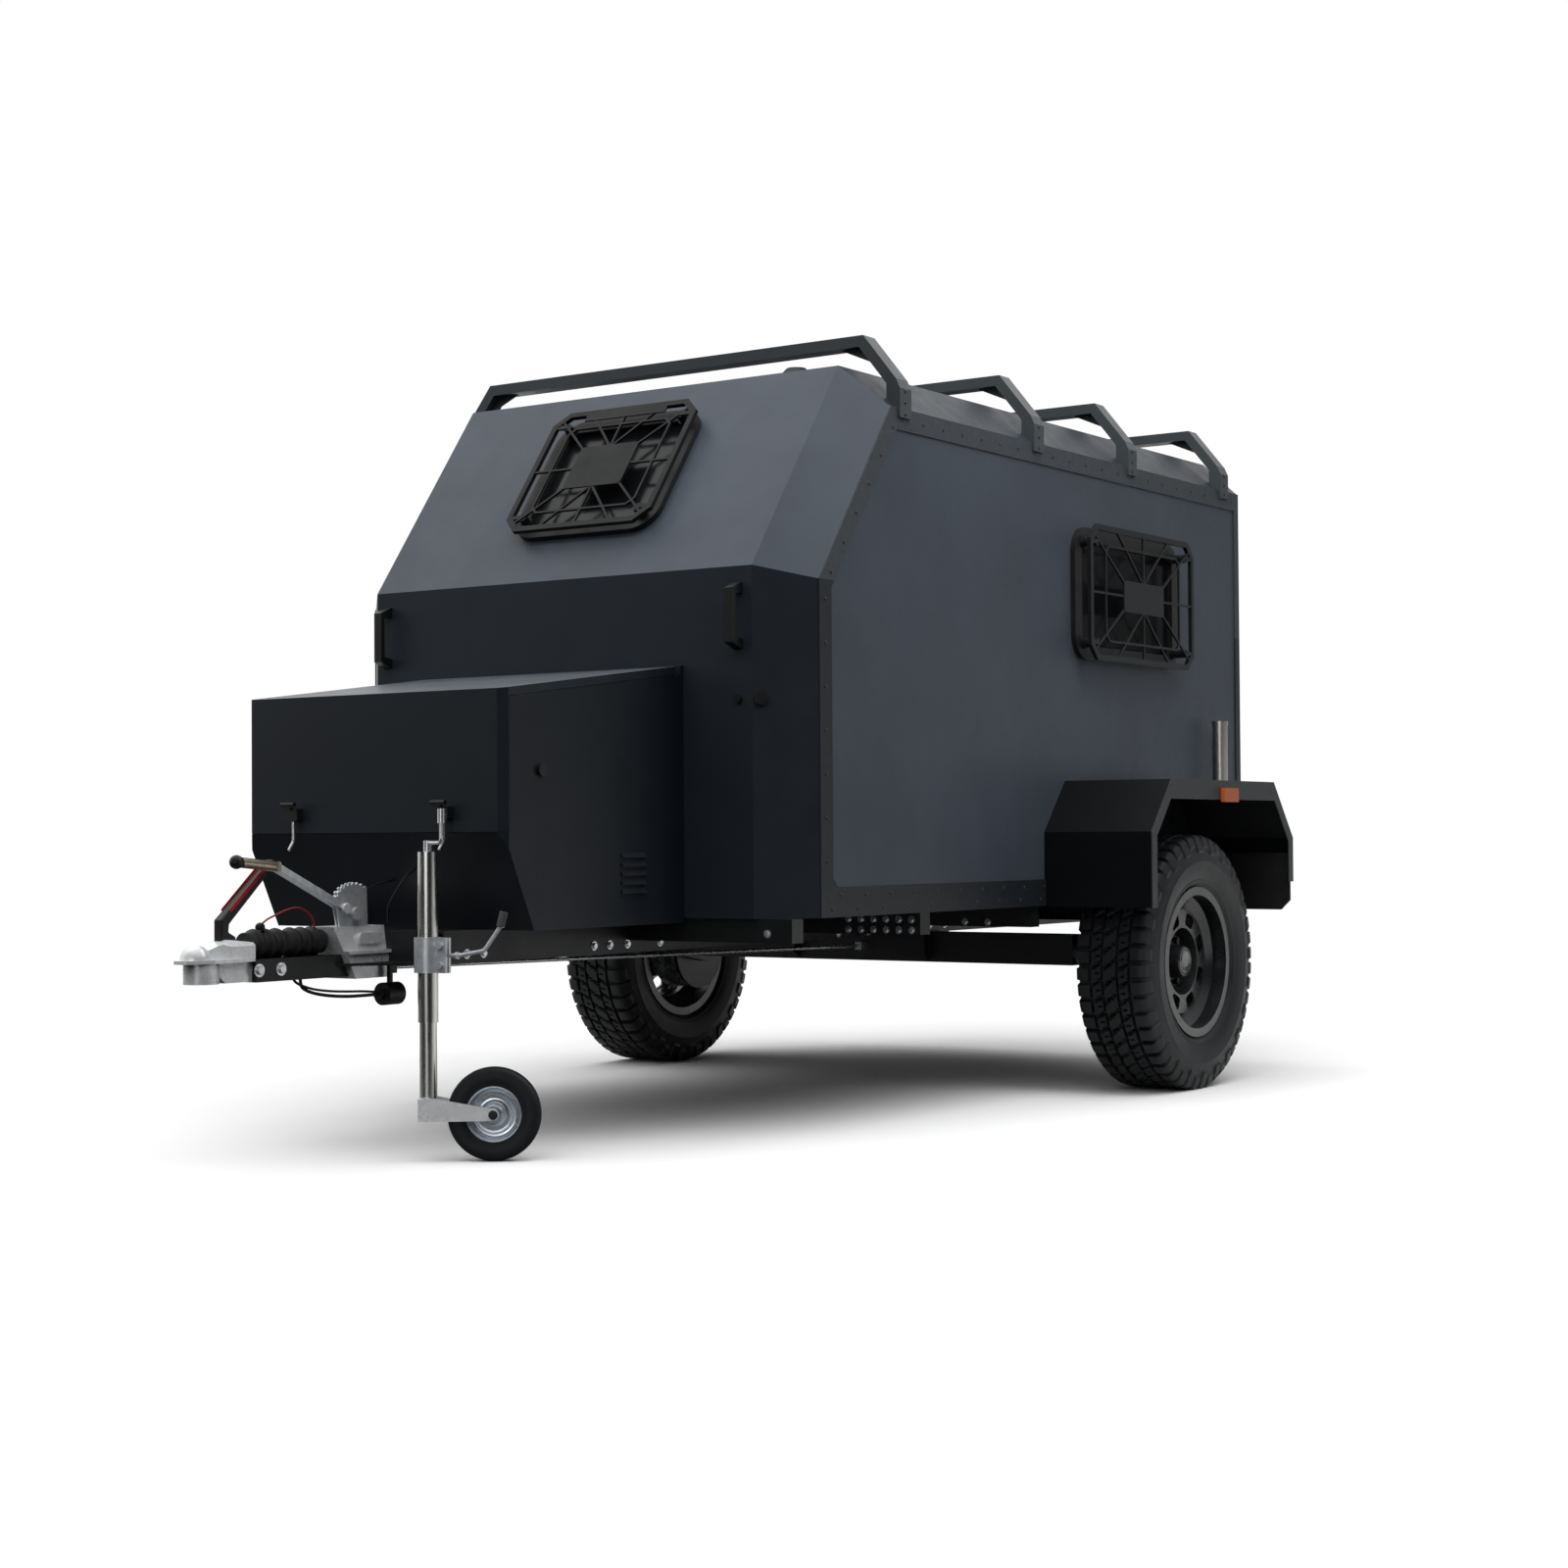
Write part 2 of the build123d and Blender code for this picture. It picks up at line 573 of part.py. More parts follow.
def window_guard(plane, width, height, plate_w, plate_h, stand, tab):
    """A web-like grille in a bent band, on four rubber-footed posts."""
    inner_corner = GUARD_CORNER_W - GUARD_BAND_W / 2
    band = eight_sided(width, height, GUARD_CORNER_W)
    band = band - eight_sided(width - 2 * GUARD_BAND_W, height - 2 * GUARD_BAND_W, inner_corner)
    ring_w = width * GUARD_RING_SHARE
    ring_h = height * GUARD_RING_SHARE
    ring = eight_sided(ring_w, ring_h, GUARD_CORNER_W / 2)
    ring = ring - eight_sided(
        ring_w - 2 * GUARD_BAR_W, ring_h - 2 * GUARD_BAR_W, (GUARD_CORNER_W - GUARD_BAR_W) / 2)
    plate = eight_sided(plate_w, plate_h, GUARD_BAND_W / 2)
    reach_x = (width - GUARD_BAND_W) / 2
    reach_y = (height - GUARD_BAND_W) / 2
    corner_x = reach_x - GUARD_CORNER_W / 2
    corner_y = reach_y - GUARD_CORNER_W / 2
    bars = [((0, 0), (0, reach_y)), ((0, 0), (0, -reach_y)), ((0, 0), (reach_x, 0)),
            ((0, 0), (-reach_x, 0))]
    for sx in (1, -1):
        for sy in (1, -1):
            plate_corner = (sx * (plate_w - GUARD_BAND_W) / 2, sy * (plate_h - GUARD_BAND_W) / 2)
            bars.append((plate_corner, (sx * corner_x, sy * corner_y)))
            spoke_root = (0, sy * (plate_h / 2 - GUARD_BAR_W))
            bars.append((spoke_root, (sx * reach_x * GUARD_SPOKE_SHARE, sy * reach_y)))
    web = ring
    for start, end in bars:
        web = web + flat_bar(start, end, GUARD_BAR_W)
    web = web & eight_sided(width - GUARD_BAND_W, height - GUARD_BAND_W, GUARD_CORNER_W - GUARD_BAND_W / 4)
    if tab:
        tab_y = height / 2 - GUARD_BAND_W / 2 - GUARD_TAB_H / 2
        plate = plate + Pos(0, tab_y) * Rectangle(width * GUARD_TAB_SHARE, GUARD_BAND_W + GUARD_TAB_H)
    low_plane = plane.offset(stand + GUARD_T - GUARD_BAND_T)
    guard = extrude(low_plane * band, amount=GUARD_BAND_T)
    guard = guard + extrude(plane.offset(stand) * plate, amount=GUARD_T)
    guard = guard + extrude(plane.offset(stand - GUARD_BAR_T / 2) * web, amount=GUARD_BAR_T)
    corner_post_x = width / 2 - POST_INSET_W
    corner_post_y = height / 2 - POST_INSET_W
    for sx in (1, -1):
        for sy in (1, -1):
            spot = Pos(sx * corner_post_x, sy * corner_post_y)
            post = extrude(plane.offset(WINDOW_FRAME_T) * (spot * Circle(POST_R)),
                           amount=stand - WINDOW_FRAME_T)
            foot = extrude(plane.offset(WINDOW_FRAME_T) * (spot * Circle(POST_FOOT_R)), amount=POST_FOOT_T)
            arm_end = (sx * (width - GUARD_BAND_W) / 2, sy * corner_post_y)
            arm = flat_bar((sx * corner_post_x, sy * corner_post_y), arm_end, POST_R)
            guard = guard + post + foot + extrude(plane.offset(stand - GUARD_BAR_T / 2) * arm,
                                                  amount=GUARD_BAR_T)
    return guard


front_size = (FRONT_GUARD_W, FRONT_GUARD_H)
side_size = (SIDE_GUARD_W, SIDE_GUARD_H)
windows = [(front_window_plane, front_size), (left_window_plane, side_size), (right_window_plane,
                                                                              side_size)]

place("floor", body_outer & block(-far_x, far_x, -OVERRUN_L, BODY_REAR_Y + OVERRUN_L, 0, floor_top))
place("front_wall", shell & front_zone)
place("front_slope", (shell & slope_zone) - window_opening(front_window_plane, *front_size))
side_left = (shell & prism_yz(side_zone_points, 0, far_x)) - window_opening(left_window_plane, *side_size)
place("side_left", side_left)
place("side_right", mirrored(side_left))
roof_gland = Pos(GLAND_X, SLOPE_TOP_Y + GLAND_SETBACK_L, ROOF_Z) * (
    Cone(GLAND_R, GLAND_R / 2, GLAND_H, align=(Align.CENTER, Align.CENTER, Align.MIN)))
place("roof", (shell & roof_zone) + roof_gland)
place("window_frames", *[window_frame(plane, *size) for plane, size in windows])
place("window_panes", *[window_pane(plane, *size) for plane, size in windows])
place("guard_front", window_guard(
    front_window_plane, FRONT_GUARD_W, FRONT_GUARD_H, FRONT_PLATE_W, FRONT_PLATE_H, FRONT_GUARD_STAND_H,
    True))
guard_left = window_guard(
    left_window_plane, SIDE_GUARD_W, SIDE_GUARD_H, SIDE_PLATE_W, SIDE_PLATE_H, SIDE_GUARD_STAND_H, False)
place("guard_left", guard_left)
place("guard_right", mirrored(guard_left))

# Rear wall, door and hinges
opening_half_w = DOOR_HALF_W + DOOR_GAP_W
door_hole = block(-opening_half_w, opening_half_w, door_wall_y - OVERRUN_L, BODY_REAR_Y + OVERRUN_L,
                  DOOR_LOW_Z - DOOR_GAP_W, DOOR_HIGH_Z + DOOR_GAP_W)
rear_wall = (body_outer & rear_zone) - door_hole
place("rear_wall", rear_wall)

hinge_x = opening_half_w - DOOR_GAP_W / 2
hinge_y = BODY_REAR_Y + DOOR_HINGE_OUT_L
door_hinge_places = [DOOR_LOW_Z + (DOOR_HIGH_Z - DOOR_LOW_Z) * share for share in DOOR_HINGE_SHARES]
door = block(-DOOR_HALF_W, DOOR_HALF_W, BODY_REAR_Y - DOOR_T, BODY_REAR_Y, DOOR_LOW_Z, DOOR_HIGH_Z)
hinges = []
for hinge_z in door_hinge_places:
    barrel = Circle(HINGE_R)
    bore = Circle(HINGE_PIN_R + HINGE_PLAY_R)
    centre = Plane.XY.offset(hinge_z - KNUCKLE_H / 2)
    swing = extrude(centre * Pos(hinge_x, hinge_y) * (barrel - bore), amount=KNUCKLE_H)
    leaf = block(hinge_x - HINGE_LEAF_W, hinge_x - HINGE_R / 2, BODY_REAR_Y, BODY_REAR_Y + HINGE_LEAF_T,
                 hinge_z - KNUCKLE_H / 2, hinge_z + KNUCKLE_H / 2)
    web = block(hinge_x - HINGE_R * 1.5, hinge_x - HINGE_R / 2, BODY_REAR_Y, hinge_y,
                hinge_z - KNUCKLE_H / 2, hinge_z + KNUCKLE_H / 2)
    hole = extrude(centre * Pos(hinge_x, hinge_y) * bore, amount=KNUCKLE_H)
    door = door + ((swing + leaf + web) - hole)
    fixed = rod((hinge_x, hinge_y, hinge_z - KNUCKLE_H * 1.5), (hinge_x, hinge_y,
                                                                hinge_z + KNUCKLE_H * 1.5),
                HINGE_PIN_R)
    for low in (hinge_z - KNUCKLE_H * 1.5, hinge_z + KNUCKLE_H / 2 + KNUCKLE_GAP):
        high = low + KNUCKLE_H - KNUCKLE_GAP
        fixed = fixed + rod((hinge_x, hinge_y, low), (hinge_x, hinge_y, high), HINGE_R)
        fixed = fixed + block(hinge_x + HINGE_R / 2, hinge_x + HINGE_R * 1.5, BODY_REAR_Y, hinge_y, low,
                              high)
        fixed = fixed + block(hinge_x + HINGE_R / 2, hinge_x + HINGE_LEAF_W, BODY_REAR_Y,
                              BODY_REAR_Y + HINGE_LEAF_T, low, high)
    hinges.append(fixed)
handle_x = -DOOR_HALF_W + DOOR_HANDLE_W
handle_z = (DOOR_LOW_Z + DOOR_HIGH_Z) / 2
handle_plate = block(handle_x - DOOR_HANDLE_W / 2, handle_x + DOOR_HANDLE_W / 2, BODY_REAR_Y,
                     BODY_REAR_Y + HINGE_LEAF_T, handle_z - DOOR_HANDLE_H / 2, handle_z + DOOR_HANDLE_H / 2)
handle_stem = rod((handle_x, BODY_REAR_Y, handle_z), (handle_x, BODY_REAR_Y + DOOR_HANDLE_OUT_L, handle_z),
                  GRIP_R)
handle_bar = block(handle_x - DOOR_HANDLE_W / 2, handle_x + DOOR_HANDLE_W / 2,
                   BODY_REAR_Y + DOOR_HANDLE_OUT_L / 2, BODY_REAR_Y + DOOR_HANDLE_OUT_L,
                   handle_z - GRIP_R, handle_z + GRIP_R)
place("rear_door", door)
place("rear_hinges", *hinges)
place("door_handle", handle_plate + handle_stem + handle_bar)

# Edge trims: one riveted band round each side
rim_out = [(CORNER_Y, BODY_BOTTOM_Z), (CORNER_Y, FACET_BREAK_Z), (FACET_TOP_Y, ROOF_SIDE_Z),
           (BODY_REAR_Y, ROOF_SIDE_Z), (BODY_REAR_Y, BODY_BOTTOM_Z)]
side_lean = math.atan2(FACET_TOP_Y - CORNER_Y, ROOF_SIDE_Z - FACET_BREAK_Z)
front_in_y = CORNER_Y + TRIM_FRONT_W
knee_in_z = FACET_BREAK_Z - TRIM_FRONT_W * math.tan(side_lean / 2)
top_in_z = ROOF_SIDE_Z - TRIM_TOP_H
slope_in_y = front_in_y + (top_in_z - knee_in_z) * math.tan(side_lean)
sill_top = BODY_BOTTOM_Z + TRIM_SILL_H
rim_in = [(front_in_y, sill_top + TRIM_CORNER_W), (front_in_y, knee_in_z), (slope_in_y, top_in_z),
          (BODY_REAR_Y - TRIM_REAR_W, top_in_z), (BODY_REAR_Y - TRIM_REAR_W, sill_top),
          (front_in_y + TRIM_CORNER_W, sill_top)]
trim_left = (prism_yz(rim_out, BODY_HALF_W, BODY_HALF_W + TRIM_T)
             - prism_yz(rim_in, BODY_HALF_W, BODY_HALF_W + TRIM_T))
place("edge_trims", trim_left, mirrored(trim_left))

# Roof hoops, cut to seat on the roof's chamfers
foot_x = BODY_HALF_W
hoop_lean = math.atan2(foot_x - HOOP_TOP_HALF_W, HOOP_TOP_Z - HOOP_KNEE_Z)
knee_drop = HOOP_BAR_T * math.tan(hoop_lean / 2)
top_inset = HOOP_BAR_T * math.tan((math.pi / 2 - hoop_lean) / 2)
hoop_half = [(foot_x, ROOF_SIDE_Z), (foot_x, HOOP_KNEE_Z), (HOOP_TOP_HALF_W, HOOP_TOP_Z)]
hoop_half_in = [(HOOP_TOP_HALF_W - top_inset, HOOP_TOP_Z - HOOP_BAR_T), (foot_x - HOOP_BAR_T,
                                                                         HOOP_KNEE_Z - knee_drop),
                (foot_x - HOOP_BAR_T, ROOF_SIDE_Z)]
hoop_points = (hoop_half + [(-x, z) for x, z in reversed(hoop_half)]
               + [(-x, z) for x, z in reversed(hoop_half_in)] + hoop_half_in)
gusset_top = (HOOP_TOP_HALF_W - top_inset, HOOP_TOP_Z - HOOP_BAR_T)
gusset_low_share = GUSSET_W / math.hypot(foot_x - HOOP_TOP_HALF_W, HOOP_TOP_Z - HOOP_KNEE_Z)
gusset_low = (gusset_top[0] + (hoop_half_in[1][0] - gusset_top[0]) * gusset_low_share,
              gusset_top[1] + (hoop_half_in[1][1] - gusset_top[1]) * gusset_low_share)
gusset_points = [gusset_top, (gusset_top[0] - GUSSET_W, gusset_top[1]), gusset_low]
for number, share in enumerate(HOOP_SHARES, 1):
    hoop_y = HOOP_FRONT_Y + (HOOP_REAR_Y - HOOP_FRONT_Y) * share
    hoop = prism_xz(hoop_points, hoop_y - HOOP_BAR_W / 2, hoop_y + HOOP_BAR_W / 2)
    for sign in (1, -1):
        points = [(sign * x, z) for x, z in gusset_points]
        hoop = hoop + prism_xz(points, hoop_y - GUSSET_T / 2, hoop_y + GUSSET_T / 2)
    hoop = hoop - body_outer
    for sign in (1, -1):
        tab_out = foot_x + TRIM_T + FOOT_TAB_T
        tab = prism_xz([(sign * (foot_x + TRIM_T), ROOF_SIDE_Z - FOOT_TAB_H), (sign * tab_out,
                                                                               ROOF_SIDE_Z - FOOT_TAB_H),
                        (sign * tab_out, HOOP_KNEE_Z - FOOT_TAB_H), (sign * foot_x, HOOP_KNEE_Z),
                        (sign * foot_x, ROOF_SIDE_Z), (sign * (foot_x + TRIM_T), ROOF_SIDE_Z)],
                       hoop_y - HOOP_BAR_W / 2, hoop_y + HOOP_BAR_W / 2)
        hoop = hoop + tab
    place(f"hoop_{number}", hoop)

# Chassis rails and crossmembers
rail_out_x = RAIL_HALF_GAP_W
rail_in_x = RAIL_HALF_GAP_W - RAIL_W
rail_section = [(rail_in_x, RAIL_LOW_Z), (rail_out_x, RAIL_LOW_Z), (rail_out_x, RAIL_HIGH_Z),
                (rail_in_x, RAIL_HIGH_Z),
                (rail_in_x, RAIL_HIGH_Z - RAIL_T), (rail_out_x - RAIL_T, RAIL_HIGH_Z - RAIL_T),
                (rail_out_x - RAIL_T, RAIL_LOW_Z + RAIL_T), (rail_in_x, RAIL_LOW_Z + RAIL_T)]
rail = prism_xz(rail_section, RAIL_FRONT_Y, RAIL_REAR_Y)
place("chassis_rails", rail, mirrored(rail))
crossmembers = []
for share in CROSS_SHARES:
    low_y = CROSS_FRONT_Y + (BODY_REAR_Y - CROSS_LAST_GAP_L - CROSS_FRONT_Y) * share
    high_y = low_y + CROSS_W
    crossmembers.append(block(rail_out_x, CROSS_HALF_SPAN_W, low_y, high_y, CROSS_LOW_Z, BODY_BOTTOM_Z))
    crossmembers.append(block(-CROSS_HALF_SPAN_W, -rail_out_x, low_y, high_y, CROSS_LOW_Z, BODY_BOTTOM_Z))
    middle = block(-rail_out_x, rail_out_x, low_y, high_y, RAIL_HIGH_Z, BODY_BOTTOM_Z)
    crossmembers.append(middle + block(-rail_in_x, rail_in_x, low_y, high_y, CROSS_LOW_Z, BODY_BOTTOM_Z))
place("crossmembers", *crossmembers)

# Drawbar: front crossmember, draw tube and gusset plates
front_cross_rear_y = RAIL_FRONT_Y + CROSS_W
drawbar = block(-rail_in_x, rail_in_x, RAIL_FRONT_Y, front_cross_rear_y, RAIL_LOW_Z, RAIL_HIGH_Z)
drawbar = drawbar + block(-DRAW_HALF_W, DRAW_HALF_W, DRAW_FRONT_Y, front_cross_rear_y, DRAW_LOW_Z,
                          DRAW_HIGH_Z)
plate_points = [(-DRAW_HALF_W, GUSSET_PLATE_Y), (DRAW_HALF_W, GUSSET_PLATE_Y),
                (rail_in_x, RAIL_FRONT_Y), (-rail_in_x, RAIL_FRONT_Y)]
drawbar = drawbar + prism_xy(plate_points, RAIL_LOW_Z, RAIL_LOW_Z + RAIL_T)
place("drawbar", drawbar)

# Axle beam, trailing arms and hubs
axle_top_z = RAIL_LOW_Z
axle_z = axle_top_z - AXLE_BEAM_W / 2
beam = block(-AXLE_HALF_SPAN, AXLE_HALF_SPAN, AXLE_Y - AXLE_BEAM_W / 2, AXLE_Y + AXLE_BEAM_W / 2,
             axle_top_z - AXLE_BEAM_W, axle_top_z)
bracket_low_z = axle_top_z - AXLE_BEAM_W
bracket_points = [(AXLE_Y - BRACKET_L / 2, bracket_low_z + BRACKET_CORNER_W), (AXLE_Y - BRACKET_L / 4,
                                                                               bracket_low_z),
                  (AXLE_Y + BRACKET_L / 4, bracket_low_z), (AXLE_Y + BRACKET_L / 2,
                                                            bracket_low_z + BRACKET_CORNER_W),
                  (AXLE_Y + BRACKET_L / 2, RAIL_HIGH_Z - BRACKET_CORNER_W),
                  (AXLE_Y - BRACKET_L / 2, RAIL_HIGH_Z - BRACKET_CORNER_W)]
axle_plate = prism_yz(bracket_points, RAIL_HALF_GAP_W, RAIL_HALF_GAP_W + BRACKET_T)
place("axle_beam", beam + axle_plate + mirrored(axle_plate))
arm_out_x = AXLE_HALF_SPAN + ARM_T
arm_sketch = make_hull((Pos(AXLE_Y, axle_z) * Circle(ARM_PIVOT_R)).edges()
                       + (Pos(WHEEL_Y, TYRE_R) * Circle(ARM_END_R)).edges())
arm = extrude(Plane.YZ.offset(AXLE_HALF_SPAN) * arm_sketch, amount=ARM_T)
hub_in_x = WHEEL_X - DRUM_T - BACKING_T
arm = arm + rod((arm_out_x, WHEEL_Y, TYRE_R), (WHEEL_X, WHEEL_Y, TYRE_R), SPINDLE_R)
arm = arm + rod((arm_out_x, WHEEL_Y, TYRE_R), (arm_out_x + BACKING_T, WHEEL_Y, TYRE_R), BACKING_R)
place("suspension_arms", arm, mirrored(arm))
drum_in_x = arm_out_x + 2 * BACKING_T - WHEEL_X
hub_profile = [(drum_in_x, SPINDLE_R + HUB_PLAY_R), (drum_in_x, DRUM_R), (drum_in_x + DRUM_T, DRUM_R),
               (drum_in_x + DRUM_T, 2 * HUB_SNOUT_R), (0, 2 * HUB_SNOUT_R), (0, HUB_SNOUT_R),
               (HUB_CAP_OUT_L, HUB_SNOUT_R), (HUB_CAP_OUT_L, 0), (BACKING_T, 0),
               (BACKING_T, SPINDLE_R + HUB_PLAY_R)]
hub = turned_x(hub_profile, WHEEL_X, WHEEL_Y, TYRE_R)
place("hub_left", hub)
place("hub_right", mirrored(hub))

# Wheels
lip_in_r = RIM_LIP_R - RIM_T
seat_edge = RIM_HALF_W - RIM_T
well_edge = RIM_HALF_W / 2
rim_profile = [(-RIM_HALF_W, RIM_LIP_R), (-seat_edge, RIM_LIP_R), (-seat_edge, RIM_SEAT_R),
               (-well_edge, RIM_SEAT_R), (-well_edge / 2, RIM_WELL_R), (well_edge / 2, RIM_WELL_R),
               (well_edge, RIM_SEAT_R), (seat_edge, RIM_SEAT_R), (seat_edge, RIM_LIP_R),
               (RIM_HALF_W, RIM_LIP_R),
               (RIM_HALF_W, RIM_SEAT_R - RIM_T), (well_edge + RIM_T, RIM_SEAT_R - RIM_T),
               (well_edge / 2 + RIM_T / 2, RIM_WELL_R - RIM_T), (-well_edge / 2 - RIM_T / 2,
                                                                 RIM_WELL_R - RIM_T),
               (-well_edge - RIM_T, RIM_SEAT_R - RIM_T), (-RIM_HALF_W, RIM_SEAT_R - RIM_T)]
disc_face_r = NUT_PLACE_R + 1.6 * NUT_R
slot_low_r = SLOT_PLACE_R - SLOT_H / 2 - DISC_T
slot_high_r = SLOT_PLACE_R + SLOT_H / 2 + DISC_T
skirt_r = RIM_WELL_R - RIM_T / 2
disc_profile = [
    (0, DISC_BORE_R), (DISC_T, DISC_BORE_R), (DISC_T, disc_face_r), (DISC_RISE_L + DISC_T, slot_low_r),
    (DISC_RISE_L + DISC_T, slot_high_r), (SKIRT_L, skirt_r), (-DISC_T / 2, skirt_r), (-DISC_T / 2,
                                                                                      skirt_r - DISC_T),
    (SKIRT_L - DISC_T, skirt_r - DISC_T), (DISC_RISE_L, slot_high_r - DISC_T / 2),
    (DISC_RISE_L, slot_low_r + DISC_T / 2), (0, disc_face_r + DISC_T / 2)]
disc = turned_x(disc_profile, 0, 0, 0)
for number in range(SLOT_COUNT):
    angle = 360 / SLOT_COUNT * (number + 0.5)
    slot = RectangleRounded(SLOT_H, SLOT_W, SLOT_R)
    disc = disc - extrude(Plane.YZ * Rot(0, 0, angle) * Pos(SLOT_PLACE_R, 0) * slot, amount=RIM_HALF_W)
for number in range(NUT_COUNT):
    angle = 360 / NUT_COUNT * number
    nut_plane = Plane.YZ.offset(DISC_T / 2) * Rot(0, 0, angle) * Pos(NUT_PLACE_R, 0)
    disc = disc + extrude(nut_plane * RegularPolygon(NUT_R, 6), amount=NUT_H)
rim = turned_x(rim_profile, 0, 0, 0) + disc
rim_left = Pos(WHEEL_X, WHEEL_Y, TYRE_R) * rim
place("rim_left", rim_left)
place("rim_right", mirrored(rim_left))

bead_x = seat_edge - BEAD_GAP_W
bead_r = RIM_SEAT_R + BEAD_GAP_W
belly_r = RIM_LIP_R + BELLY_H
crown_r = TYRE_R - LUG_H
shoulder_x = TYRE_HALF_W - SHOULDER_W
tyre_half = [(bead_x, bead_r), (bead_x, RIM_LIP_R + BEAD_RISE_H), (TYRE_HALF_W - BEAD_TUCK_W,
                                                                   RIM_LIP_R + BEAD_H),
             (TYRE_HALF_W, belly_r), (TYRE_HALF_W - SHOULDER_TUCK_W, crown_r - SHOULDER_H),
             (shoulder_x, crown_r)]
tyre_half_in = [(shoulder_x - TYRE_WALL_T, crown_r - TREAD_T), (bead_x - TYRE_WALL_T, bead_r)]
tyre_profile = (tyre_half + [(-x, r) for x, r in reversed(tyre_half)]
                + [(-x, r) for x, r in reversed(tyre_half_in)] + tyre_half_in)


def faceted_ring(profile, count):
    """A closed (x, radius) profile carried round the X axis in flat facets."""
    step = 2 * math.pi / count
    grow = 1 / math.cos(step / 2)
    rings = []
    for number in range(count):
        angle = step * (number + 0.5)
        rings.append([Vector(x, r * grow * math.cos(angle), r * grow * math.sin(angle)) for x,
                      r in profile])
    faces = []
    for number in range(count):
        here, there = rings[number - 1], rings[number]
        for index in range(len(profile)):
            corners = [here[index - 1], here[index], there[index], there[index - 1]]
            faces.append(Face(Wire.make_polygon(corners)))
    return Solid(Shell(faces))


def shoulder_lug(start_x, width):
    """A lug over the shoulder, drawn at the top of the wheel's +X side."""
    outline = [(start_x, crown_r - TREAD_T / 2), (start_x, TYRE_R), (shoulder_x - LUG_H / 2,
                                                                     TYRE_R - LUG_CROWN_H),
               (TYRE_HALF_W - SHOULDER_TUCK_W, crown_r), (TYRE_HALF_W, crown_r - SHOULDER_H),
               (TYRE_HALF_W - SHOULDER_TUCK_W, crown_r - SHOULDER_H - LUG_H),
               (shoulder_x, crown_r - SHOULDER_H), (shoulder_x - LUG_H, crown_r - TREAD_T / 2)]
    return prism_xz(outline, -width / 2, width / 2)


carcass = faceted_ring(tyre_profile, TREAD_COUNT)
lugs = []
for number in range(TREAD_COUNT):
    angle = 360 / TREAD_COUNT * number
    starts = (LUG_LONG_X, LUG_SHORT_X) if number % 2 else (LUG_SHORT_X, LUG_LONG_X)
    lugs.append(Rot(angle, 0, 0) * shoulder_lug(starts[0], LUG_W))
    lugs.append(Rot(angle, 0, 0) * mirror(shoulder_lug(starts[1], LUG_W), about=Plane.YZ))
    slant = BLOCK_SLANT_W if number % 2 else -BLOCK_SLANT_W
    points = [(-BLOCK_HALF_W - slant, -BLOCK_L / 2), (BLOCK_HALF_W - slant, -BLOCK_L / 2),
              (BLOCK_HALF_W + slant, BLOCK_L / 2), (-BLOCK_HALF_W + slant, BLOCK_L / 2)]
    lugs.append(Rot(angle, 0, 0) * prism_xy(points, crown_r - TREAD_T / 2, TYRE_R))
tyre = carcass.fuse(*[solid for lug in lugs for solid in lug.solids()])
tyre_left = Pos(WHEEL_X, WHEEL_Y, TYRE_R) * tyre
place("tyre_left", tyre_left)
place("tyre_right", mirrored(tyre_left))

# Fenders, flaps and lamps
fender_line = [(FENDER_FRONT_Y, FENDER_LOW_Z), (FENDER_FRONT_Y, FENDER_KNEE_Z), (FENDER_TOP_FRONT_Y,
                                                                                 FENDER_TOP_Z),
               (FENDER_TOP_REAR_Y, FENDER_TOP_Z), (FENDER_REAR_Y, FENDER_REAR_KNEE_Z),
               (FENDER_REAR_Y, FENDER_REAR_LOW_Z)]


def inset_line(points, gap):
    """The same bent line, moved a gap towards the wheel."""
    moved = []
    for index, (y, z) in enumerate(points):
        before = points[max(index - 1, 0)]
        after = points[min(index + 1, len(points) - 1)]
        normals = []
        for a, b in ((before, (y, z)), ((y, z), after)):
            run = math.dist(a, b)
            if run:
                normals.append(((b[1] - a[1]) / run, -(b[0] - a[0]) / run))
        ny = sum(n[0] for n in normals)
        nz = sum(n[1] for n in normals)
        size = math.hypot(ny, nz)
        first = normals[0]
        spread = (first[0] * ny + first[1] * nz) / size
        moved.append((y + ny / size * gap / spread, z + nz / size * gap / spread))
    return moved


fender_in = inset_line(fender_line, FENDER_T)
lip_in = inset_line(fender_line, FENDER_LIP_H)
sheet = prism_yz(fender_line + fender_in[::-1], BODY_HALF_W, FENDER_OUT_X)
lip = prism_yz(fender_line + lip_in[::-1], FENDER_OUT_X - FENDER_T, FENDER_OUT_X)
top_lip_low = []
for corner, beside in ((2, 1), (3, 4)):
    (near_y, near_z), (far_y, far_z) = lip_in[corner], lip_in[beside]
    share = (FENDER_TOP_LIP_H - FENDER_LIP_H) / (near_z - far_z)
    top_lip_low.append((near_y + (far_y - near_y) * share, FENDER_TOP_Z - FENDER_TOP_LIP_H))
top_lip = prism_yz([*fender_line[2:4], top_lip_low[1], top_lip_low[0]], FENDER_OUT_X - FENDER_T,
                   FENDER_OUT_X)
fender_left = (sheet + lip + top_lip) - trim_left
place("fender_left", fender_left)
place("fender_right", mirrored(fender_left))
flap_y = fender_in[-1][0]
flap_out_x = FENDER_OUT_X - 2 * FENDER_T
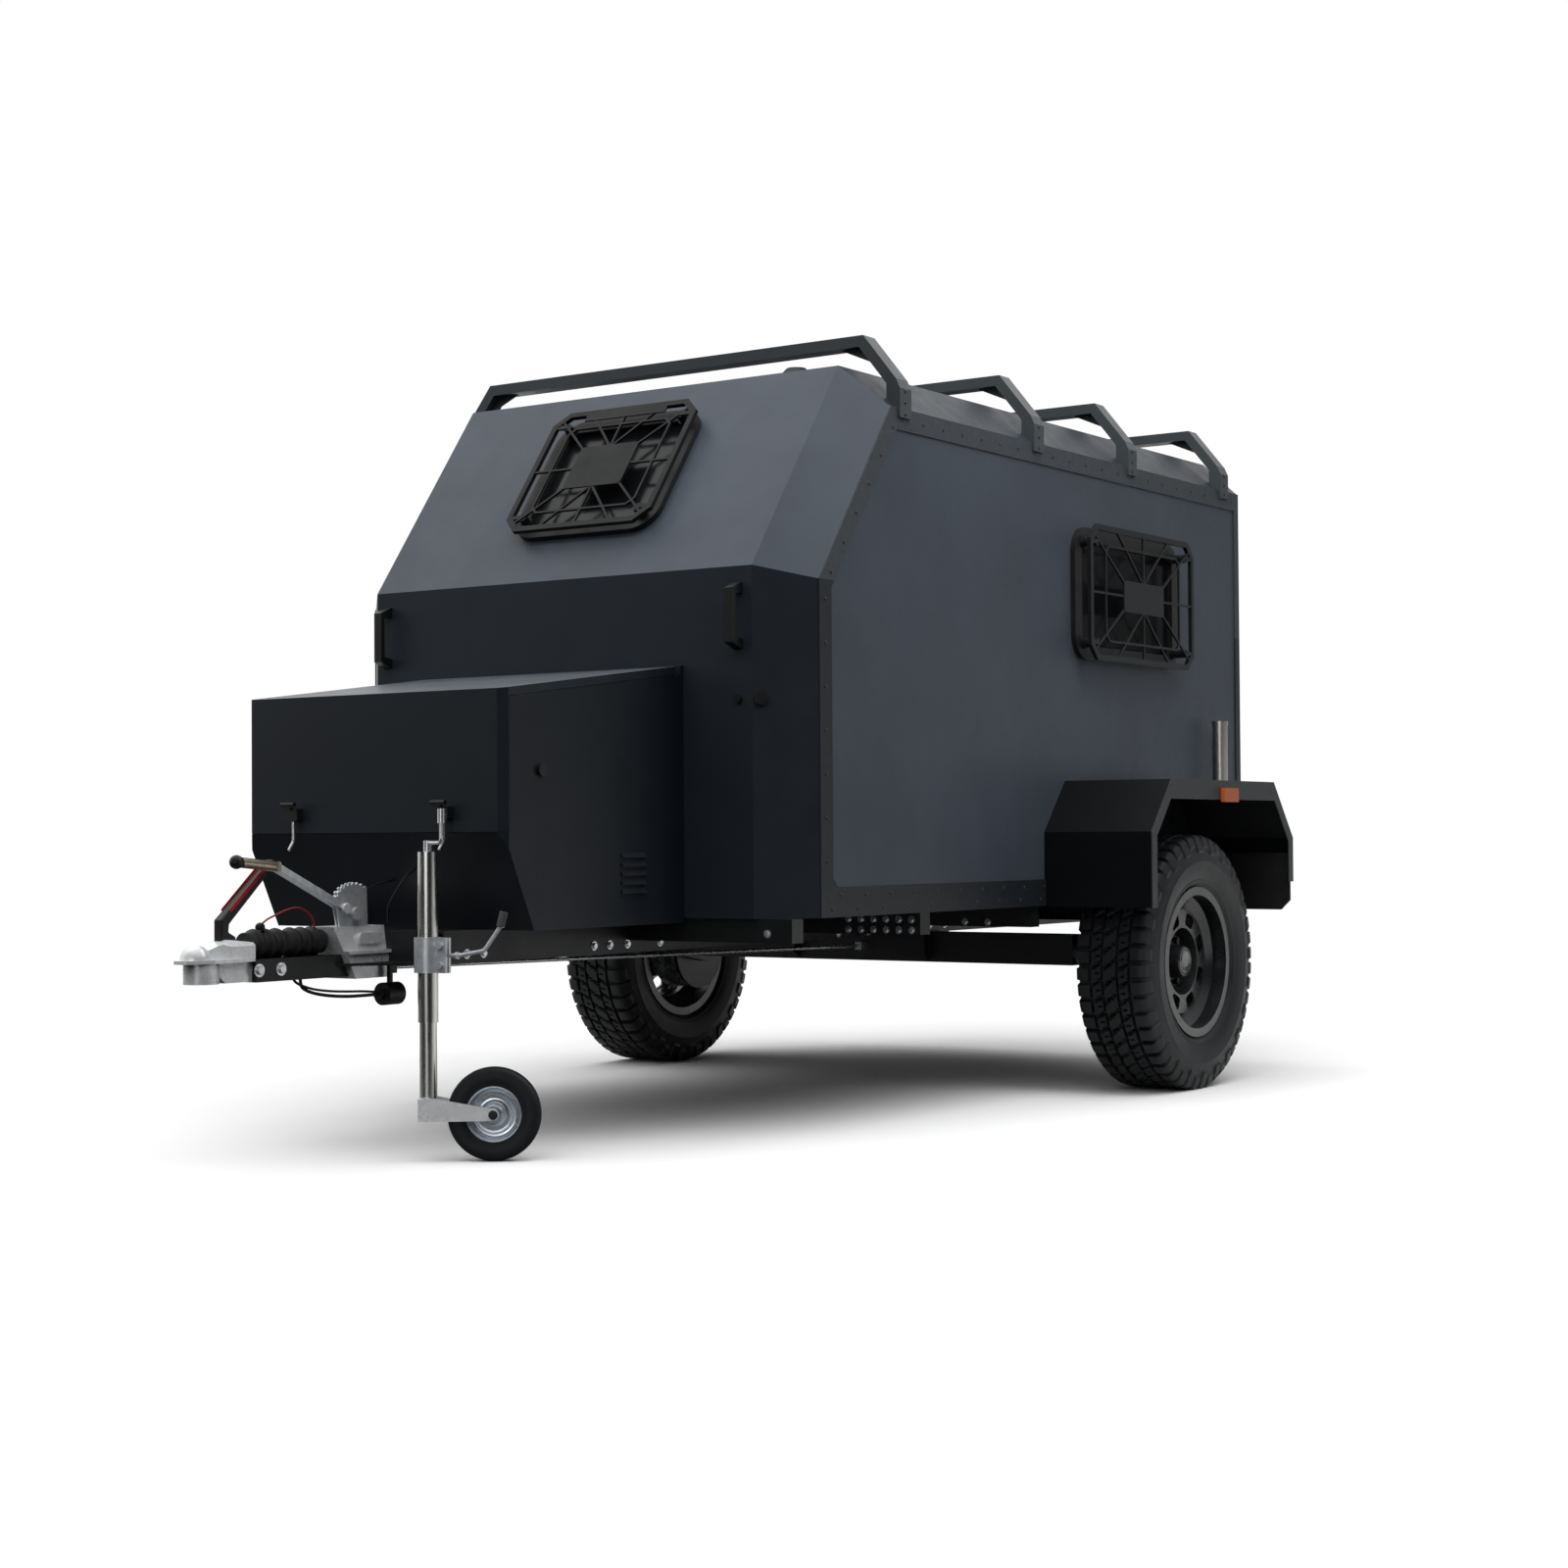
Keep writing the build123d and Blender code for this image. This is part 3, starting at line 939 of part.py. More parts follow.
flap = prism_xz([(FLAP_IN_X, FLAP_HIGH_Z), (FLAP_IN_X, FLAP_LOW_Z + FLAP_CORNER_W),
                 (FLAP_IN_X + FLAP_CORNER_W, FLAP_LOW_Z),
                 (flap_out_x - FLAP_CORNER_W, FLAP_LOW_Z), (flap_out_x, FLAP_LOW_Z + FLAP_CORNER_W),
                 (flap_out_x, FLAP_HIGH_Z)], flap_y - FLAP_T, flap_y)
place("mudflaps", flap, mirrored(flap))
marker_z = FENDER_TOP_Z - MARKER_DROP_H
marker = block(FENDER_OUT_X, FENDER_OUT_X + MARKER_T, MARKER_Y - MARKER_W / 2, MARKER_Y + MARKER_W / 2,
               marker_z - MARKER_H / 2, marker_z + MARKER_H / 2)
place("marker_lamps", marker, mirrored(marker))
tail = block(TAIL_LAMP_X - TAIL_LAMP_W / 2, TAIL_LAMP_X + TAIL_LAMP_W / 2, BODY_REAR_Y,
             BODY_REAR_Y + TAIL_LAMP_T,
             TAIL_LAMP_Z - TAIL_LAMP_H / 2, TAIL_LAMP_Z + TAIL_LAMP_H / 2)
place("tail_lamps", tail, mirrored(tail))

# Nose box with its lid
box_side = [(BOX_BOTTOM_FRONT_Y, RAIL_HIGH_Z), (BOX_FRONT_Y, BOX_BREAK_Z), (BOX_FRONT_Y, BOX_FRONT_TOP_Z),
            (0, BOX_REAR_TOP_Z), (0, RAIL_HIGH_Z)]
box_plan = [(-BOX_HALF_W + BOX_CORNER_W, BOX_FRONT_Y), (BOX_HALF_W - BOX_CORNER_W, BOX_FRONT_Y),
            (BOX_HALF_W, BOX_FRONT_Y + BOX_CORNER_W), (BOX_HALF_W, 0), (-BOX_HALF_W, 0),
            (-BOX_HALF_W, BOX_FRONT_Y + BOX_CORNER_W)]


def box_form(inset):
    """The nose box's outline, each face moved inwards by the inset."""
    faces = []
    for points in (box_side, box_plan):
        face = make_face(Polyline(*points, close=True))
        if inset:
            face = offset(face, -inset, kind=Kind.INTERSECTION)
        faces.append(face)
    across = extrude(Plane.YZ.offset(-BOX_HALF_W) * faces[0], amount=2 * BOX_HALF_W)
    if inset:
        across = across & block(-BOX_HALF_W + inset, BOX_HALF_W - inset, BOX_FRONT_Y, 0, 0, ROOF_Z)
    upright = extrude(Plane.XY * faces[1], amount=ROOF_Z)
    return across & upright


box_outer = box_form(0)
box_shell = box_outer - box_form(BOX_WALL_T)
top_rise = (BOX_REAR_TOP_Z - BOX_FRONT_TOP_Z) / -BOX_FRONT_Y


def box_top_z(y, depth):
    """Height of the plane that lies a depth under the sloping top."""
    return BOX_REAR_TOP_Z + y * top_rise - depth * math.hypot(1, top_rise)


lid_cut_y = BOX_FRONT_Y + LID_T
lid_zone = prism_yz([
    (BOX_FRONT_Y - OVERRUN_L, BOX_BREAK_Z), (BOX_FRONT_Y - OVERRUN_L, ROOF_Z), (-LID_REAR_GAP_L, ROOF_Z),
    (-LID_REAR_GAP_L, box_top_z(-LID_REAR_GAP_L, LID_T)), (lid_cut_y, box_top_z(lid_cut_y, LID_T)),
    (lid_cut_y, BOX_BREAK_Z)], -far_x, far_x)
seat_y = lid_cut_y + LID_GAP_W
seat_depth = LID_T + LID_GAP_W
strip_y = -BOX_WALL_T
box_zone = prism_yz([
    (seat_y, box_top_z(seat_y, seat_depth)), (-LID_REAR_GAP_L, box_top_z(-LID_REAR_GAP_L, seat_depth)),
    (-LID_REAR_GAP_L, box_top_z(-LID_REAR_GAP_L, GUTTER_DEPTH_H)),
    (strip_y, box_top_z(strip_y, GUTTER_DEPTH_H)), (strip_y, ROOF_Z), (OVERRUN_L, ROOF_Z), (OVERRUN_L, 0),
    (BOX_FRONT_Y - OVERRUN_L, 0), (BOX_FRONT_Y - OVERRUN_L, BOX_BREAK_Z - LID_GAP_W),
    (seat_y, BOX_BREAK_Z - LID_GAP_W)], -far_x, far_x)
nose_box = box_shell & box_zone
gutter_low = GUTTER_DEPTH_H + GUTTER_T
gutter_front_y = -LID_REAR_GAP_L - GUTTER_T
nose_box = nose_box + prism_yz([
    (gutter_front_y, box_top_z(gutter_front_y, gutter_low)), (gutter_front_y, box_top_z(gutter_front_y,
                                                                                        GUTTER_DEPTH_H)),
    (strip_y / 2, box_top_z(strip_y / 2, GUTTER_DEPTH_H)), (strip_y / 2, box_top_z(strip_y / 2,
                                                                                   gutter_low))],
    -BOX_HALF_W + BOX_WALL_T / 2, BOX_HALF_W - BOX_WALL_T / 2)
lid = box_outer & lid_zone
lid_hinge_z = box_top_z(LID_HINGE_Y, LID_HINGE_DEPTH_H)
for side_sign in (1, -1):
    x0 = side_sign * LID_HINGE_X
    for step in (-1, 0, 1):
        low = x0 + (step - 0.5) * KNUCKLE_H + step * KNUCKLE_GAP
        high = low + KNUCKLE_H
        barrel = rod((low, LID_HINGE_Y, lid_hinge_z), (high, LID_HINGE_Y, lid_hinge_z), HINGE_R)
        hole = rod((low, LID_HINGE_Y, lid_hinge_z), (high, LID_HINGE_Y, lid_hinge_z),
                   HINGE_PIN_R + HINGE_PLAY_R)
        if step == 0:
            strap = block(low, high, -LID_REAR_GAP_L - GUTTER_T, LID_HINGE_Y,
                          lid_hinge_z - HINGE_PIN_R, lid_hinge_z + HINGE_PIN_R)
            lid = lid + ((barrel + strap) - hole)
        else:
            nose_box = nose_box + barrel
            nose_box = nose_box + block(low, high, LID_HINGE_Y, strip_y / 2,
                                        lid_hinge_z - HINGE_PIN_R, lid_hinge_z + HINGE_PIN_R)
    pin_reach = KNUCKLE_H + KNUCKLE_GAP
    nose_box = nose_box + rod((x0 - pin_reach, LID_HINGE_Y, lid_hinge_z), (x0 + pin_reach, LID_HINGE_Y,
                                                                           lid_hinge_z),
                              HINGE_PIN_R)
for row in range(LOUVRE_ROWS):
    low = LOUVRE_LOW_Z + (LOUVRE_H + LOUVRE_GAP_H) * row
    hood = prism_xz([(BOX_HALF_W, low), (BOX_HALF_W + LOUVRE_OUT_L, low), (BOX_HALF_W, low + LOUVRE_H)],
                    LOUVRE_REAR_Y - LOUVRE_L, LOUVRE_REAR_Y)
    nose_box = nose_box + hood + mirrored(hood)
place("nose_box", nose_box)
place("nose_lid", lid)

# Lid latches: a body, a T-grip above it and a bent hook that hangs over the break
LATCH_BODY_W = 40.0
LATCH_BODY_OUT_L = 20.0
LATCH_LOW_Z = 797.0
LATCH_HIGH_Z = 829.0
LATCH_CORNER_R = 4.0
LATCH_BAR_L = 44.0
LATCH_BAR_R = 6.0
LATCH_BAR_OUT_L = 30.0
LATCH_BAR_UP_H = 8.0
HOOK_R = 4.0
HOOK_OUT_L = 11.0
HOOK_BEND_R = 14.0
HOOK_KNEE_Z = 748.0
HOOK_TIP_Z = 726.0
HOOK_TIP_OUT_L = 27.0
latches = []
for side_sign in (1, -1):
    x0 = side_sign * LATCH_X
    pad = block(x0 - LATCH_BODY_W / 2, x0 + LATCH_BODY_W / 2, BOX_FRONT_Y - LATCH_BODY_OUT_L, BOX_FRONT_Y,
                LATCH_LOW_Z, LATCH_HIGH_Z)
    pad = fillet(pad.edges().filter_by(Axis.Y), LATCH_CORNER_R)
    bar_y = BOX_FRONT_Y - LATCH_BAR_OUT_L
    bar_z = LATCH_HIGH_Z + LATCH_BAR_UP_H
    neck = rod((x0, BOX_FRONT_Y - HOOK_OUT_L, LATCH_HIGH_Z - LATCH_BAR_UP_H), (x0, bar_y, bar_z), HOOK_R)
    bar = rod((x0 - LATCH_BAR_L / 2, bar_y, bar_z), (x0 + LATCH_BAR_L / 2, bar_y, bar_z), LATCH_BAR_R)
    hook = bent_bar([(x0, BOX_FRONT_Y - HOOK_OUT_L, LATCH_HIGH_Z - LATCH_BAR_UP_H),
                     (x0, BOX_FRONT_Y - HOOK_OUT_L, HOOK_KNEE_Z),
                     (x0, BOX_FRONT_Y - HOOK_TIP_OUT_L, HOOK_TIP_Z)], HOOK_R, HOOK_BEND_R)
    latches.append(pad + neck + bar + hook)
place("lid_latches", *latches)

# Grab handles and locks
grab_out = [(0, GRAB_LOW_Z), (-GRAB_OUT_L, GRAB_LOW_Z + GRAB_SLANT_H),
            (-GRAB_OUT_L, GRAB_HIGH_Z - GRAB_SLANT_H), (0, GRAB_HIGH_Z)]
grab_hole = [(0, GRAB_LOW_Z + 2 * GRAB_BAR_T), (-GRAB_OUT_L + GRAB_BAR_T,
                                                GRAB_LOW_Z + GRAB_SLANT_H + GRAB_BAR_T),
             (-GRAB_OUT_L + GRAB_BAR_T, GRAB_HIGH_Z - GRAB_SLANT_H - GRAB_BAR_T),
             (0, GRAB_HIGH_Z - 2 * GRAB_BAR_T)]
grab = (prism_yz(grab_out, GRAB_X - GRAB_W / 2, GRAB_X + GRAB_W / 2)
        - prism_yz(grab_hole, GRAB_X - GRAB_W / 2, GRAB_X + GRAB_W / 2))
place("grab_handles", grab, mirrored(grab))
corner_run = math.hypot(BODY_HALF_W - FRONT_HALF_W, CORNER_Y)
corner_out = Vector(CORNER_Y / corner_run, -(BODY_HALF_W - FRONT_HALF_W) / corner_run, 0)
lock_at = Vector(FRONT_HALF_W, 0, LOCK_Z) + Vector(BODY_HALF_W - FRONT_HALF_W, CORNER_Y,
                                                   0) * (LOCK_R / corner_run)
lock = rod(tuple(lock_at), tuple(lock_at + corner_out * LOCK_OUT_L), LOCK_R * 0.85)
knob = rod((GRAB_X, -LOCK_OUT_L, LOCK_Z), (GRAB_X, 0, LOCK_Z), LOCK_R / 2)
SIDE_LOCK_Y = -566.0
SIDE_LOCK_Z = 912.0
side_lock = rod((BOX_HALF_W, SIDE_LOCK_Y, SIDE_LOCK_Z), (BOX_HALF_W + LOCK_OUT_L, SIDE_LOCK_Y, SIDE_LOCK_Z),
                LOCK_R * 0.7)
place("body_locks", lock, mirrored(lock), knob, mirrored(knob), side_lock, mirrored(side_lock))

# Coupling head: flange, nose dome, arched neck, slanted keel and ball socket
DOME_R = 34.0
DOME_SETBACK_L = 26.0
NECK_DIP_Z = 508.0
NECK_CREST_SHARE = 0.45
NECK_REAR_Z = 521.0
NECK_CORNER_W = 15.0
KEEL_RUN_L = 46.0
KEEL_HALF_W = 27.0
dome_y = BALL_Y - DOME_SETBACK_L + RIDGE_T
flange_points = [(-HEAD_HALF_W, DRAW_FRONT_Y), (-HEAD_HALF_W - RIDGE_T, BALL_Y), (-HEAD_HALF_W / 2, NOSE_Y),
                 (HEAD_HALF_W / 2, NOSE_Y), (HEAD_HALF_W + RIDGE_T, BALL_Y), (HEAD_HALF_W, DRAW_FRONT_Y)]
head = prism_xy(flange_points, FLANGE_Z, FLANGE_Z + FLANGE_T)
head = fillet(head.edges().filter_by(Axis.Z).sort_by(Axis.Y)[:4], DOME_SETBACK_L / 2)
dome = Pos(0, dome_y, FLANGE_Z + FLANGE_T) * Sphere(DOME_R)
head = head + (dome & block(-far_x, far_x, NOSE_Y, 0, FLANGE_Z, HEAD_TOP_Z))
neck_shoulder = HEAD_TOP_Z - NECK_CORNER_W
neck_points = [(-HEAD_HALF_W, FLANGE_Z), (-HEAD_HALF_W, neck_shoulder), (-HEAD_HALF_W + NECK_CORNER_W,
                                                                         HEAD_TOP_Z),
               (HEAD_HALF_W - NECK_CORNER_W, HEAD_TOP_Z), (HEAD_HALF_W, neck_shoulder), (HEAD_HALF_W,
                                                                                         FLANGE_Z)]
neck_front_y = dome_y + DOME_R / 2
crest_y = neck_front_y + (DRAW_FRONT_Y - neck_front_y) * NECK_CREST_SHARE
neck_side = prism_yz([(neck_front_y, FLANGE_Z), (neck_front_y, NECK_DIP_Z), (crest_y, HEAD_TOP_Z),
                      (DRAW_FRONT_Y, NECK_REAR_Z), (DRAW_FRONT_Y, FLANGE_Z)], -HEAD_HALF_W, HEAD_HALF_W)
neck_plan = prism_xy([(-DOME_R + FLANGE_T, neck_front_y), (DOME_R - FLANGE_T, neck_front_y),
                      (HEAD_HALF_W, crest_y), (HEAD_HALF_W, DRAW_FRONT_Y), (-HEAD_HALF_W, DRAW_FRONT_Y),
                      (-HEAD_HALF_W, crest_y)], FLANGE_Z, HEAD_TOP_Z)
head = head + (prism_xz(neck_points, neck_front_y, DRAW_FRONT_Y) & neck_side & neck_plan)
head = head + rod((0, BALL_Y, SOCKET_LOW_Z), (0, BALL_Y, FLANGE_Z), SOCKET_R)
head = head + prism_yz([(BALL_Y, FLANGE_Z), (BALL_Y + KEEL_RUN_L, SOCKET_LOW_Z), (DRAW_FRONT_Y,
                                                                                  SOCKET_LOW_Z),
                        (DRAW_FRONT_Y, FLANGE_Z)], -KEEL_HALF_W, KEEL_HALF_W)
head = head - rod((0, BALL_Y, SOCKET_LOW_Z), (0, BALL_Y, BALL_Z), BALL_R) - Pos(0, BALL_Y,
                                                                                BALL_Z) * Sphere(BALL_R)
place("coupling_head", head)

HANDLE_W = 26.0
HANDLE_T = 16.0
HANDLE_ROUND_R = 5.0
HANDLE_SETBACK_L = 56.0
HANDLE_KNEE_L = 10.0
HANDLE_KNEE_Z = 573.0
HANDLE_REACH_L = 148.0
HANDLE_TOP_Z = 703.0
HANDLE_FOOT_L = 38.0
handle_foot_y = BALL_Y + HANDLE_SETBACK_L
handle_knee_y = handle_foot_y + HANDLE_KNEE_L
handle_end_y = handle_knee_y + HANDLE_REACH_L
handle_rise = (HANDLE_TOP_Z - HANDLE_KNEE_Z) / HANDLE_REACH_L
handle_lean = math.hypot(1, handle_rise)
coupling_handle = prism_yz([
    (handle_foot_y - HANDLE_T / 2, FLANGE_Z + FLANGE_T), (handle_foot_y - HANDLE_T / 2, HANDLE_KNEE_Z),
    (handle_end_y - HANDLE_T / 2 * handle_rise / handle_lean, HANDLE_TOP_Z + HANDLE_T / 2 / handle_lean),
    (handle_end_y + HANDLE_T / 2 * handle_rise / handle_lean, HANDLE_TOP_Z - HANDLE_T / 2 / handle_lean),
    (handle_knee_y + HANDLE_T / 2, HANDLE_KNEE_Z - HANDLE_KNEE_L), (handle_foot_y + HANDLE_T,
                                                                    HEAD_TOP_Z + HANDLE_T),
    (handle_foot_y + HANDLE_FOOT_L, HEAD_TOP_Z + HANDLE_ROUND_R),
    (handle_foot_y + HANDLE_FOOT_L, FLANGE_Z + FLANGE_T)], -HANDLE_W / 2, HANDLE_W / 2)
coupling_handle = fillet(coupling_handle.edges().filter_by(GeomType.LINE), HANDLE_ROUND_R)
coupling_handle = coupling_handle - head
place("coupling_handle", coupling_handle)

# Soft bellows over the overrun shaft, in two groups of folds
FOLD_STEPS = 8
BELLOWS_BAND_L = 12.0
bellows_gap_l = HOUSING_FRONT_Y - DRAW_FRONT_Y
fold_l = (bellows_gap_l - 3 * BELLOWS_BAND_L) / BELLOWS_RIBS
fold_mean_r = (BELLOWS_R + BELLOWS_RIB_R) / 2
fold_swing_r = (BELLOWS_RIB_R - BELLOWS_R) / 2
bellows_points = [(DRAW_FRONT_Y, 0), (DRAW_FRONT_Y, BELLOWS_R)]
fold_y = DRAW_FRONT_Y + BELLOWS_BAND_L
for rib in range(BELLOWS_RIBS):
    for step in range(FOLD_STEPS + 1):
        swing = math.cos(2 * math.pi * step / FOLD_STEPS)
        bellows_points.append((fold_y + fold_l * step / FOLD_STEPS, fold_mean_r - fold_swing_r * swing))
    fold_y = fold_y + fold_l
    if rib == BELLOWS_RIBS // 2 - 1:
        fold_y = fold_y + BELLOWS_BAND_L
bellows_points = list(dict.fromkeys(bellows_points))
bellows_points += [(HOUSING_FRONT_Y, BELLOWS_R), (HOUSING_FRONT_Y, 0)]
bellows = turned_y(bellows_points, 0, 0, SHAFT_Z)
place("bellows", bellows - block(-far_x, far_x, DRAW_FRONT_Y, 0, 0, DRAW_HIGH_Z))

# Galvanised housing, a saddle with a raked front round the draw tube
HOUSING_RAKE_L = 58.0
HOUSING_RIDGE_RAKE_L = 30.0
BOSS_L = 78.0
BOSS_H = 26.0
BOSS_T = 6.0
BOSS_SETBACK_L = 112.0
ridge_z = DRAW_HIGH_Z
housing = prism_xz([(-HOUSING_HALF_W, HOUSING_LOW_Z), (-HOUSING_HALF_W, ridge_z),
                    (-HOUSING_HALF_W + RIDGE_T, ridge_z + RIDGE_T),
                    (-HOUSING_HALF_W + 2 * RIDGE_T, HOUSING_TOP_Z), (HOUSING_HALF_W - 2 * RIDGE_T,
                                                                     HOUSING_TOP_Z),
                    (HOUSING_HALF_W - RIDGE_T, ridge_z + RIDGE_T), (HOUSING_HALF_W, ridge_z),
                    (HOUSING_HALF_W, HOUSING_LOW_Z)], HOUSING_FRONT_Y, RAIL_FRONT_Y)
housing = housing + block(-HOUSING_HALF_W - RIDGE_T, HOUSING_HALF_W + RIDGE_T, HOUSING_FRONT_Y,
                          RAIL_FRONT_Y, ridge_z,
                          ridge_z + RIDGE_T)
housing = housing & prism_yz([
    (HOUSING_FRONT_Y, HOUSING_TOP_Z), (HOUSING_FRONT_Y + HOUSING_RIDGE_RAKE_L, ridge_z),
    (HOUSING_FRONT_Y + HOUSING_RAKE_L, HOUSING_LOW_Z), (RAIL_FRONT_Y, HOUSING_LOW_Z), (RAIL_FRONT_Y,
                                                                                       HOUSING_TOP_Z)],
    -far_x, far_x)
boss_z = (ridge_z + RIDGE_T + HOUSING_TOP_Z) / 2
boss_plane = Plane(origin=(HOUSING_HALF_W - 2 * RIDGE_T, HOUSING_FRONT_Y + BOSS_SETBACK_L, boss_z),
                   x_dir=(0, 1, 0), z_dir=(1, 0, 0))
boss = extrude(boss_plane * SlotOverall(BOSS_L, BOSS_H), amount=RIDGE_T + BOSS_T)
housing = (housing + boss + mirrored(boss)) - drawbar
place("coupling_housing", housing)

# Handbrake: two toothed ratchet plates, a lever of two flat bars and its grip
PIVOT_Y = -800.0
PIVOT_Z = 577.0
QUADRANT_R = 74.0
TOOTH_H = 5.0
TOOTH_COUNT = 9
QUADRANT_FROM = 55.0
QUADRANT_TO = 155.0
QUADRANT_T = 4.0
QUADRANT_FOOT_L = 46.0
BAR_GAP_W = 9.0
BAR_T = 4.0
BAR_H = 15.0
PIVOT_R = 15.0
GRIP_REAR = (-1052.0, 692.0)
GRIP_FRONT = (-1168.0, 703.0)
GRIP_BALL_R = 16.0
quadrant_points = [(PIVOT_Y + QUADRANT_FOOT_L, HOUSING_TOP_Z - RIDGE_T)]
for tooth in range(TOOTH_COUNT):
    for part_share, radius in ((0, QUADRANT_R), (0.4, QUADRANT_R), (0.6, QUADRANT_R - TOOTH_H),
                               (0.9, QUADRANT_R - TOOTH_H)):
        angle = QUADRANT_FROM + (QUADRANT_TO - QUADRANT_FROM) * (tooth + part_share) / TOOTH_COUNT
        turn_by = math.radians(angle)
        quadrant_points.append((PIVOT_Y + radius * math.cos(turn_by), PIVOT_Z + radius * math.sin(turn_by)))
quadrant_points.append((PIVOT_Y - QUADRANT_FOOT_L, HOUSING_TOP_Z - RIDGE_T))
handbrake = rod((LEVER_X - BAR_GAP_W - BAR_T, PIVOT_Y, PIVOT_Z),
                (LEVER_X + BAR_GAP_W + BAR_T + 2 * QUADRANT_T, PIVOT_Y, PIVOT_Z), PIVOT_R)
for side_sign in (1, -1):
    bar_x = LEVER_X + side_sign * (BAR_GAP_W + BAR_T / 2)
    bar_points = []
    run = math.dist((PIVOT_Y, PIVOT_Z), GRIP_REAR)
    off_y = (GRIP_REAR[1] - PIVOT_Z) / run * BAR_H / 2
    off_z = (PIVOT_Y - GRIP_REAR[0]) / run * BAR_H / 2
    bar_points = [(PIVOT_Y + off_y, PIVOT_Z + off_z), (GRIP_REAR[0] + off_y, GRIP_REAR[1] + off_z),
                  (GRIP_REAR[0] - off_y, GRIP_REAR[1] - off_z), (PIVOT_Y - off_y, PIVOT_Z - off_z)]
    handbrake = handbrake + prism_yz(bar_points, bar_x - BAR_T / 2, bar_x + BAR_T / 2)
quadrant_low_x = LEVER_X - BAR_GAP_W + QUADRANT_T / 2
for plate_x in (quadrant_low_x, LEVER_X + BAR_GAP_W - 1.5 * QUADRANT_T):
    handbrake = handbrake + prism_yz(quadrant_points, plate_x, plate_x + QUADRANT_T)
handbrake = handbrake - block(-far_x, far_x, HOUSING_FRONT_Y, RAIL_FRONT_Y, 0, HOUSING_TOP_Z)
grip_run = math.dist(GRIP_REAR, GRIP_FRONT)
handbrake = handbrake + rod((LEVER_X, GRIP_REAR[0] + GRIP_R,
                             GRIP_REAR[1] - GRIP_R * (GRIP_FRONT[1] - GRIP_REAR[1]) / grip_run),
                            (LEVER_X, *GRIP_FRONT), GRIP_R)
handbrake = handbrake + Pos(LEVER_X, *GRIP_FRONT) * Sphere(GRIP_BALL_R)
place("handbrake", handbrake)

# Brake rod from the housing to the axle
BRAKE_ROD_R = 5.0
BRAKE_ROD_Z = 442.0
ROD_BLOCK_W = 12.0
rod_start_y = front_cross_rear_y
rod_end_y = AXLE_Y - AXLE_BEAM_W / 2
brake_rod = rod((0, rod_start_y + ROD_BLOCK_W, BRAKE_ROD_Z), (0, rod_end_y - ROD_BLOCK_W, axle_z),
                BRAKE_ROD_R)
brake_rod = brake_rod + block(-ROD_BLOCK_W, ROD_BLOCK_W, rod_start_y, rod_start_y + 2 * ROD_BLOCK_W,
                              BRAKE_ROD_Z - ROD_BLOCK_W, BRAKE_ROD_Z + ROD_BLOCK_W)
brake_rod = brake_rod + block(-ROD_BLOCK_W, ROD_BLOCK_W, rod_end_y - 2 * ROD_BLOCK_W, rod_end_y,
                              axle_z - ROD_BLOCK_W, axle_z + ROD_BLOCK_W)
place("brake_rod", brake_rod)

# Jockey wheel: its clamp, tubes, fork, wheel and crank
turn = Pos(JOCKEY_X, JOCKEY_Y, 0) * Rot(0, 0, JOCKEY_TURN)
clamp_r = JOCKEY_TUBE_R + JOCKEY_PLAY_R
CLAMP_EAR_W = 30.0
CLAMP_EAR_T = 7.0
CLAMP_EAR_GAP_W = 5.0
CLAMP_BOLT_R = 9.0
CLAMP_BOLT_H = 7.0
CLAMP_BOLT_SHARES = (0.22, 0.78)
clamp_out = clamp_r + CLAMP_T
clamp = rod((JOCKEY_X, JOCKEY_Y, CLAMP_LOW_Z), (JOCKEY_X, JOCKEY_Y, CLAMP_HIGH_Z), clamp_out)
clamp = clamp + block(JOCKEY_X, JOCKEY_X + clamp_out + CLAMP_EAR_W,
                      JOCKEY_Y - CLAMP_EAR_T - CLAMP_EAR_GAP_W / 2,
                      JOCKEY_Y + CLAMP_EAR_T + CLAMP_EAR_GAP_W / 2, CLAMP_LOW_Z, CLAMP_HIGH_Z)
clamp = clamp + block(JOCKEY_X - clamp_out, JOCKEY_X + CLAMP_T, JOCKEY_Y, RAIL_FRONT_Y,
                      CLAMP_LOW_Z + CLAMP_T,
                      CLAMP_HIGH_Z - CLAMP_T)
clamp = clamp - block(JOCKEY_X, JOCKEY_X + clamp_out + CLAMP_EAR_W, JOCKEY_Y - CLAMP_EAR_GAP_W / 2,
                      JOCKEY_Y + CLAMP_EAR_GAP_W / 2, CLAMP_LOW_Z, CLAMP_HIGH_Z)
ear_bolt_x = JOCKEY_X + clamp_out + CLAMP_EAR_W / 2
bolt_front_y = JOCKEY_Y - CLAMP_EAR_GAP_W / 2 - CLAMP_EAR_T
for share in CLAMP_BOLT_SHARES:
    bolt_z = CLAMP_LOW_Z + (CLAMP_HIGH_Z - CLAMP_LOW_Z) * share
    bolt_plane = Plane(origin=(ear_bolt_x, bolt_front_y, bolt_z), x_dir=(1, 0, 0), z_dir=(0, -1, 0))
    clamp = clamp + extrude(bolt_plane * RegularPolygon(CLAMP_BOLT_R, 6), amount=CLAMP_BOLT_H)
    clamp = clamp + rod((ear_bolt_x, bolt_front_y, bolt_z), (ear_bolt_x, JOCKEY_Y + CLAMP_T, bolt_z),
                        CLAMP_BOLT_R / 2)
clamp = clamp - rod((JOCKEY_X, JOCKEY_Y, CLAMP_LOW_Z), (JOCKEY_X, JOCKEY_Y, CLAMP_HIGH_Z), clamp_r)
TLEVER_OUT_L = 26.0
TLEVER_RUN = (40.0, 44.0, 10.0)
TLEVER_RISE = (34.0, 18.0, 56.0)
TLEVER_GRIP = (8.0, 4.0, 34.0)
TLEVER_BEND_R = 16.0
